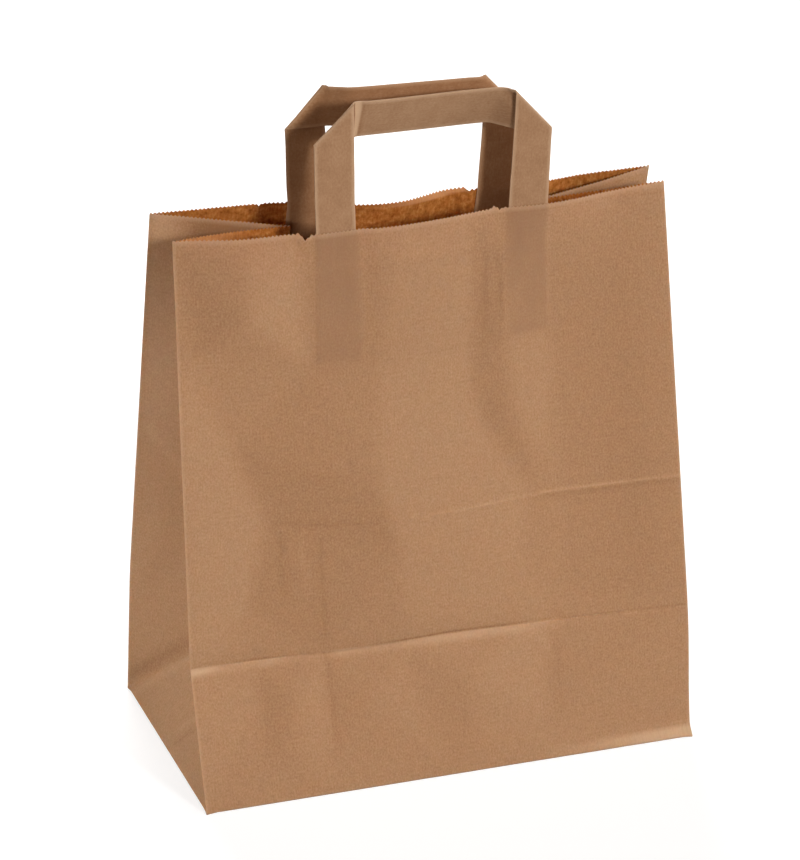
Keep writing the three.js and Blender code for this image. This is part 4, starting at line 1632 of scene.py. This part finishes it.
@dataclass(frozen=True)
class FlatHandle:
    """A handle: one flat strip, turned by two 45 degree folds from leg to bar and from bar to leg.

    Fold steps are shares of the crook at which the folds are scored. Bend lines, the painted highlight band and the
    bar's painted light and shade lie this far past the left leg's inner edge, and the end's painted shade this far past
    the right one's.
    """

    sheet: BagSheet
    panel: Panel
    cell: float = 0.0025
    cells_across: int = 10
    fold_steps: tuple[float, ...] = (-1.0, -0.6, -0.3, 0.0, 0.3, 0.6, 1.0)
    bend_lines: tuple[float, ...] = (0.0, 0.0006, 0.0012, 0.0018, 0.0026, 0.0064, 0.0072, 0.0079, 0.0086)
    grain_offset: float = 0.4
    edge_round: float = 0.00022
    round_angle: float = 55.0
    smooth_angle: float = 40.0
    crook: float = 0.0013
    kink: float = 0.12
    early: float = 0.0015
    loop: float = 0.0016
    loop_reach: float = 0.007
    loop_from: float = 0.012
    dip_reach: float = 0.030
    waviness: float = 0.00025
    wavy: Ease = Ease(0.004, 0.030)
    # Paler along the strip's cut edges and folds: rubbed, with a painted highlight on the edges.
    cut_wear_and_highlight: float = 0.55
    cut_worn: Ease = Ease(0.0002, 0.0012)
    fold_wear_and_highlight: float = 0.5
    fold_worn: Ease = Ease(0.0008, 0.0026)
    # Painted highlight on a band past the left leg, painted light on the bar with painted shadow lines at the left
    # leg's edge and at the bend, and painted shade at the right end.
    band_painted_highlight: SoftArea = SoftArea(0.45, (0.0018, 0.0028, 0.0062, 0.0074))
    band_painted_light: SoftArea = SoftArea(0.85, (0.0018, 0.0026, 0.0064, 0.0074))
    bar_edge: Ease = Ease(-0.001, 0.0)
    bar_painted_light_and_shade: tuple[SoftArea, ...] = (
        SoftArea(0.30),
        SoftArea(-0.9, (0.0001, 0.0009, 0.0019, 0.0027)),
        SoftArea(-0.9, (0.0001, 0.0009, 0.0019, 0.0027), (0.014, 0.022, 2.0, 3.0)),
        SoftArea(-0.5, (0.0068, 0.0076, 0.0082, 0.0090)),
    )
    end_painted_shade: SoftArea = SoftArea(-0.35, (-2.0, -1.0, 0.0, 0.008))

    @property
    def left_length(self) -> float:
        """Length of the left leg up to the outer end of its fold."""
        shape = self.sheet.shape
        return shape.leg_glued + self.panel.left_leg.rise - shape.strap

    @property
    def bar_end(self) -> float:
        """Place along the strip of the outer end of the right leg's fold."""
        return self.left_length + self.panel.span

    @property
    def length(self) -> float:
        """Length of the flat strip."""
        shape = self.sheet.shape
        return self.bar_end + shape.leg_glued + self.panel.right_leg.rise - shape.strap

    @property
    def painted_ends(self) -> float:
        """Only the front handle carries painted light and shade at its bar's ends."""
        return 1.0 if self.panel is self.sheet.shape.front else 0.0

    def fold(self, along: Array, across: Array) -> Array:
        """Fold places on the flat strip into the handle's shape.

        Args:
            along: Distances along the strip from the left leg's glued end.
            across: Distances across it from its outer edge.

        Returns:
            One point for each place, in the middle of the strip's thickness.
        """
        shape, panel = self.sheet.shape, self.panel
        radius = (shape.fold_gap + shape.strap_thick) / 2
        first, second = self.left_length + across, self.bar_end - across
        share = np.clip((along - first) / (second - first), 0.0, 1.0)
        left_side = along < self.left_length + panel.span / 2
        bend = np.where(left_side, along - first, second - along) / ROOT_TWO
        foot = across + bend / ROOT_TWO
        folded = np.sqrt(bend**2 + (radius / 2) ** 2) - radius / 2
        inwards = foot + folded / ROOT_TWO
        low_fold = shape.height - shape.strap
        left_height, right_height = low_fold + panel.left_leg.rise, low_fold + panel.right_leg.rise
        up = mix(left_height, right_height, share) + foot - folded / ROOT_TWO
        top = left_height + shape.strap
        up = up - panel.left_leg.dip * smooth(up, top - self.dip_reach, top) * (1 - smooth(share, 0.0, 1.0))
        past = np.maximum(0.0, up - shape.height)
        left_splay = past * math.tan(math.radians(panel.left_leg.splay))
        right_splay = past * math.tan(math.radians(panel.right_leg.splay))
        place = np.where(left_side, panel.handle_left + inwards, panel.handle_right - inwards)
        place = place - left_splay * (1 - share) + right_splay * share
        start = panel.handle_left + shape.strap - left_splay
        end = panel.handle_right - shape.strap + right_splay
        stand = mix(panel.left_leg.stand, panel.right_leg.stand, np.clip((place - start) / (end - start), 0.0, 1.0))
        stand = stand + panel.inward * panel.bar_tip * (2 * across / shape.strap - 1)
        left_way = (place - start + self.early) / panel.left_leg.ramp
        right_way = (end - place + self.early) / panel.right_leg.ramp
        way = np.maximum(np.minimum(left_way, right_way), 0.0)
        way = (way + 1.0 - np.sqrt((way - 1.0) ** 2 + self.kink**2)) / (2.0 - (math.hypot(1.0, self.kink) - 1.0))
        opened = np.where(bend > self.crook, np.clip(way, 0.0, 1.0), 0.0)
        loop = self.loop * np.sin(np.clip(bend / self.loop_reach, 0.0, 1.0) * math.pi)
        stand = opened * stand + loop * smooth(across, self.loop_from, shape.strap)
        centre = shape.leg_face + shape.strap_thick + shape.fold_gap / 2
        depth = centre + radius * np.sin(np.clip(bend / self.crook, -1.0, 1.0) * math.pi / 2) + stand
        depth = depth + self.waviness * wave(along, across, 0.06, 3.0 + panel.inward) * self.wavy.rise(past)
        return shape.inside_panel(panel, place, up, depth - self.sheet.behind(panel, place, up))

    def wear_and_highlight(self, along: Array, across: Array) -> Array:
        """Where the strip is paler: its cut edges and two folds, rubbed and with a painted highlight, and a painted
        highlight on a band past the left leg.

        Args:
            along: Distances along the strip.
            across: Distances across it from its outer edge.

        Returns:
            Shares of paleness.
        """
        strap = self.sheet.shape.strap
        edge = self.cut_wear_and_highlight * self.cut_worn.fall(np.minimum(across, strap - across))
        to_fold = np.minimum(np.abs(along - self.left_length - across), np.abs(self.bar_end - across - along))
        fold = self.fold_wear_and_highlight * self.fold_worn.fall(to_fold)
        left = along - self.left_length - strap
        return np.maximum.reduce([edge, fold, self.painted_ends * self.band_painted_highlight.at(left, across)])

    def tone(self, along: Array, across: Array) -> Array:
        """Painted light and shade on the bar: shadow lines, a highlight band and a lighter bar at its left, shade at
        its right.

        Args:
            along: Distances along the strip.
            across: Distances across it from its outer edge.

        Returns:
            Shares of the light tone above zero and of the dark one below.
        """
        strap = self.sheet.shape.strap
        left = along - self.left_length - strap
        right = self.bar_end - strap - along
        bar = self.bar_edge.rise(left) * self.bar_edge.rise(right)
        tones = sum(area.at(left, across) for area in self.bar_painted_light_and_shade) + self.end_painted_shade.at(right, across)
        return self.painted_ends * (self.band_painted_light.at(left, across) + bar * tones)

    def build(self, finishes: Sequence[bpy.types.Material]) -> bpy.types.Object:
        """Lay out, score, fold and finish the strip.

        Args:
            finishes: The strip's finish.

        Returns:
            The finished piece.
        """
        shape, name = self.sheet.shape, self.panel.name
        cells = (round(self.length / self.cell), self.cells_across)
        strip = FlatSheet(f"{name}_strip", (0.0, 0.0), (self.length, shape.strap), cells)
        middle = self.left_length + self.panel.span / 2
        for step in self.fold_steps:
            offset = step * self.crook * ROOT_TWO
            strip.score(Axis.RISING, (self.left_length + offset, 0.0), Area(right=middle))
            strip.score(Axis.FALLING, (self.bar_end + offset, 0.0), Area(left=middle))
        for offset in self.bend_lines:
            strip.score(Axis.ALONG, (self.left_length + shape.strap + offset, 0.0))
        along, across = strip.places()
        strip.keep_flat(across + self.grain_offset * self.panel.inward, along)
        strip.note("wear_and_highlight", self.wear_and_highlight(along, across))
        # Painted light and shade of the bar's ends.
        strip.note("shade", self.tone(along, across))
        strip.fold_to(self.fold(along, across))
        strip.cover(finishes)
        strip.thicken(shape.strap_thick, 0.0)
        strip.soften(self.edge_round, self.round_angle)
        strip.shade(self.smooth_angle)
        return strip.dress(Slot.HANDLE, f"{name}_handle")


@dataclass(frozen=True)
class HandlePatch:
    """A patch of kraft glued inside a panel, draped over both legs of its handle."""

    sheet: BagSheet
    panel: Panel
    cell: float = 0.0025
    grain_offset: float = 0.7
    smooth_angle: float = 40.0

    def build(self, finishes: Sequence[bpy.types.Material]) -> bpy.types.Object:
        """Lay out, score, drape and finish the patch.

        Args:
            finishes: The patch's finish.

        Returns:
            The finished piece.
        """
        shape, panel = self.sheet.shape, self.panel
        ramp = shape.fit_gap + shape.patch_ramp
        low = panel.handle_left - ramp - shape.patch_margin
        high = panel.handle_right + ramp + shape.patch_margin
        top = shape.height - shape.patch_drop
        cells = (round((high - low) / self.cell), round(shape.patch_height / self.cell))
        sheet = FlatSheet(f"{panel.name}_patch", (low, top - shape.patch_height), (high, top), cells)
        starts = (panel.handle_left, panel.handle_right - shape.strap)
        for start in starts:
            end = start + shape.strap
            for edge in (start - ramp, start - shape.fit_gap, end + shape.fit_gap, end + ramp):
                sheet.score(Axis.ALONG, (edge, 0.0))
        along, up = sheet.places()
        away = np.minimum(*(np.maximum(start - along, along - start - shape.strap) for start in starts))
        over = (shape.strap_thick + shape.fit_gap) * np.clip(1 - (away - shape.fit_gap) / shape.patch_ramp, 0.0, 1.0)
        sheet.keep_flat(along + self.grain_offset * panel.inward, up)
        depth = shape.leg_face + over - self.sheet.behind(panel, along, up)
        sheet.fold_to(shape.inside_panel(panel, along, up, depth))
        sheet.cover(finishes)
        sheet.thicken(shape.paper, float(panel.inward))
        sheet.shade(self.smooth_angle)
        return sheet.dress(Slot.PATCH, f"{panel.name}_handle_patch")


@dataclass(frozen=True)
class Lamp:
    """A soft lamp of a size and a power that looks at an aim: a square one, or a spot with a cone in degrees."""

    name: str
    place: tuple[float, float, float]
    size: float
    power: float
    aim: tuple[float, float, float] = (0.0, 0.0, 0.18)
    cone: float = 0.0
    cone_blend: float = 0.12

    def build(self) -> None:
        """Hang the lamp and turn it to its aim."""
        kind = LampKind.SPOT if self.cone else LampKind.AREA
        bpy.ops.object.select_all(action="DESELECT")
        bpy.ops.object.light_add(type=kind.value, location=self.place)
        lamp = bpy.context.active_object
        lamp.name = self.name
        lamp.data.energy = self.power
        if kind is LampKind.SPOT:
            lamp.data.shadow_soft_size = self.size
            lamp.data.spot_size = math.radians(self.cone)
            lamp.data.spot_blend = self.cone_blend
        else:
            lamp.data.size = self.size
        lamp.rotation_mode = "QUATERNION"
        lamp.rotation_quaternion = (Vector(self.aim) - Vector(self.place)).to_track_quat("-Z", "Y")


@dataclass(frozen=True)
class Studio:
    """A pale floor, soft light from all sides and the camera at the photograph's view."""

    azimuth: float = -20.592
    elevation: float = 22.603
    roll: float = 1.171
    distance: float = 1.9774
    shift_right: float = -0.007529
    shift_up: float = 0.022776
    aim_height: float = 0.170
    focal_pixels: float = 3204.8
    long_side: float = 860.0
    sensor: float = 36.0
    farthest: float = 50.0
    ambient: float = 0.10
    ambient_tone: tuple[float, float, float, float] = (1.0, 0.74, 0.48, 1.0)
    white: tuple[float, float, float, float] = (1.0, 1.0, 1.0, 1.0)
    floor_side: float = 12.0
    floor_tone: tuple[float, float, float, float] = (0.34, 0.34, 0.34, 1.0)
    floor_glow: float = 0.76
    lamps: tuple[Lamp, ...] = (
        Lamp("front_key", (0.66, -2.23, 1.09), 0.35, 37.9),
        Lamp("right_side", (2.45, -0.75, 0.75), 0.8, 16.0),
        Lamp("left_side", (-2.24, -0.52, 0.70), 0.15, 126.0, (-0.15, 0.0, 0.135), 13.2),
        Lamp("overhead", (0.4, -0.4, 2.4), 1.6, 7.0),
        Lamp("behind", (0.3, 2.2, 1.5), 1.2, 75.0),
    )

    def camera(self) -> None:
        """Set the camera at the photograph's view."""
        azimuth, elevation, roll = (math.radians(angle) for angle in (self.azimuth, self.elevation, self.roll))
        flat = math.cos(elevation)
        back = Vector((math.sin(azimuth) * flat, -math.cos(azimuth) * flat, math.sin(elevation)))
        right = Vector((math.cos(azimuth), math.sin(azimuth), 0.0))
        up = back.cross(right)
        right, up = (math.cos(roll) * right + math.sin(roll) * up, math.cos(roll) * up - math.sin(roll) * right)
        aim = right * self.shift_right + up * self.shift_up + Vector((0.0, 0.0, self.aim_height))
        bpy.ops.object.select_all(action="DESELECT")
        bpy.ops.object.camera_add(location=aim + back * self.distance)
        camera = bpy.context.active_object
        camera.rotation_mode = "QUATERNION"
        camera.rotation_quaternion = Matrix((right, up, back)).transposed().to_quaternion()
        camera.data.sensor_width = self.sensor
        camera.data.lens = self.focal_pixels * self.sensor / self.long_side
        camera.data.clip_end = self.farthest
        bpy.context.scene.camera = camera

    def world(self) -> None:
        """Light the scene evenly and softly all round, and show white where the camera sees past the floor."""
        world = bpy.data.worlds.new("studio")
        bpy.context.scene.world = world
        nodes = Nodes(world)
        seen = nodes.seen()
        strength = nodes.add("ShaderNodeMapRange", {"Value": seen, "To Min": self.ambient, "To Max": 1.0})
        colour = nodes.blend(seen, self.ambient_tone, self.white)
        nodes.fill(nodes.given("Background"), {"Color": colour, "Strength": strength.outputs["Result"]})

    def floor(self) -> None:
        """Lay a plain pale floor that shows white to the camera and keeps the bag's shadow."""
        bpy.ops.object.select_all(action="DESELECT")
        bpy.ops.mesh.primitive_plane_add(size=self.floor_side, location=(0.0, 0.0, 0.0))
        floor = bpy.context.active_object
        floor.name = "floor"
        material = bpy.data.materials.new("pale_floor")
        nodes = Nodes(material)
        shader = nodes.given("Principled BSDF")
        nodes.fill(shader, {"Base Color": self.floor_tone, "Roughness": 0.9, "Specular IOR Level": 0.1})
        plain = shader.outputs["BSDF"]
        glow = nodes.add("ShaderNodeEmission", {"Strength": self.floor_glow})
        bright = nodes.add("ShaderNodeAddShader", {0: plain, 1: glow.outputs["Emission"]})
        choice = nodes.add("ShaderNodeMixShader", {"Fac": nodes.seen(), 1: plain, 2: bright.outputs["Shader"]})
        nodes.fill(nodes.given("Material Output"), {"Surface": choice.outputs["Shader"]})
        floor.data.materials.append(material)

    def build(self) -> None:
        """Set up the camera, the light and the floor."""
        self.camera()
        self.world()
        for lamp in self.lamps:
            lamp.build()
        self.floor()
        bpy.context.scene.view_settings.view_transform = "Standard"


def main() -> None:
    """Build the studio and every piece of the bag in order."""
    logging.basicConfig(level=logging.INFO, format="%(name)s: %(message)s")
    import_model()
    Studio().build()
    shape, papers = BagShape(), KraftFinishes()
    bag = (papers.outside.make(), papers.inside.make())
    strips, patch = (papers.strip.make(), papers.back_strip.make()), papers.patch.make()
    sheet = BagSheet(shape)
    pieces = [sheet.build(bag), *BlockBottom(shape).build(bag)]
    for panel, strip in zip((shape.front, shape.back), strips):
        pieces += [FlatHandle(sheet, panel).build((strip,)), HandlePatch(sheet, panel).build((patch,))]
    for piece in pieces:
        LOG.info("%s: %d faces", piece.name, len(piece.data.polygons))


if __name__ == "__main__":
    main()
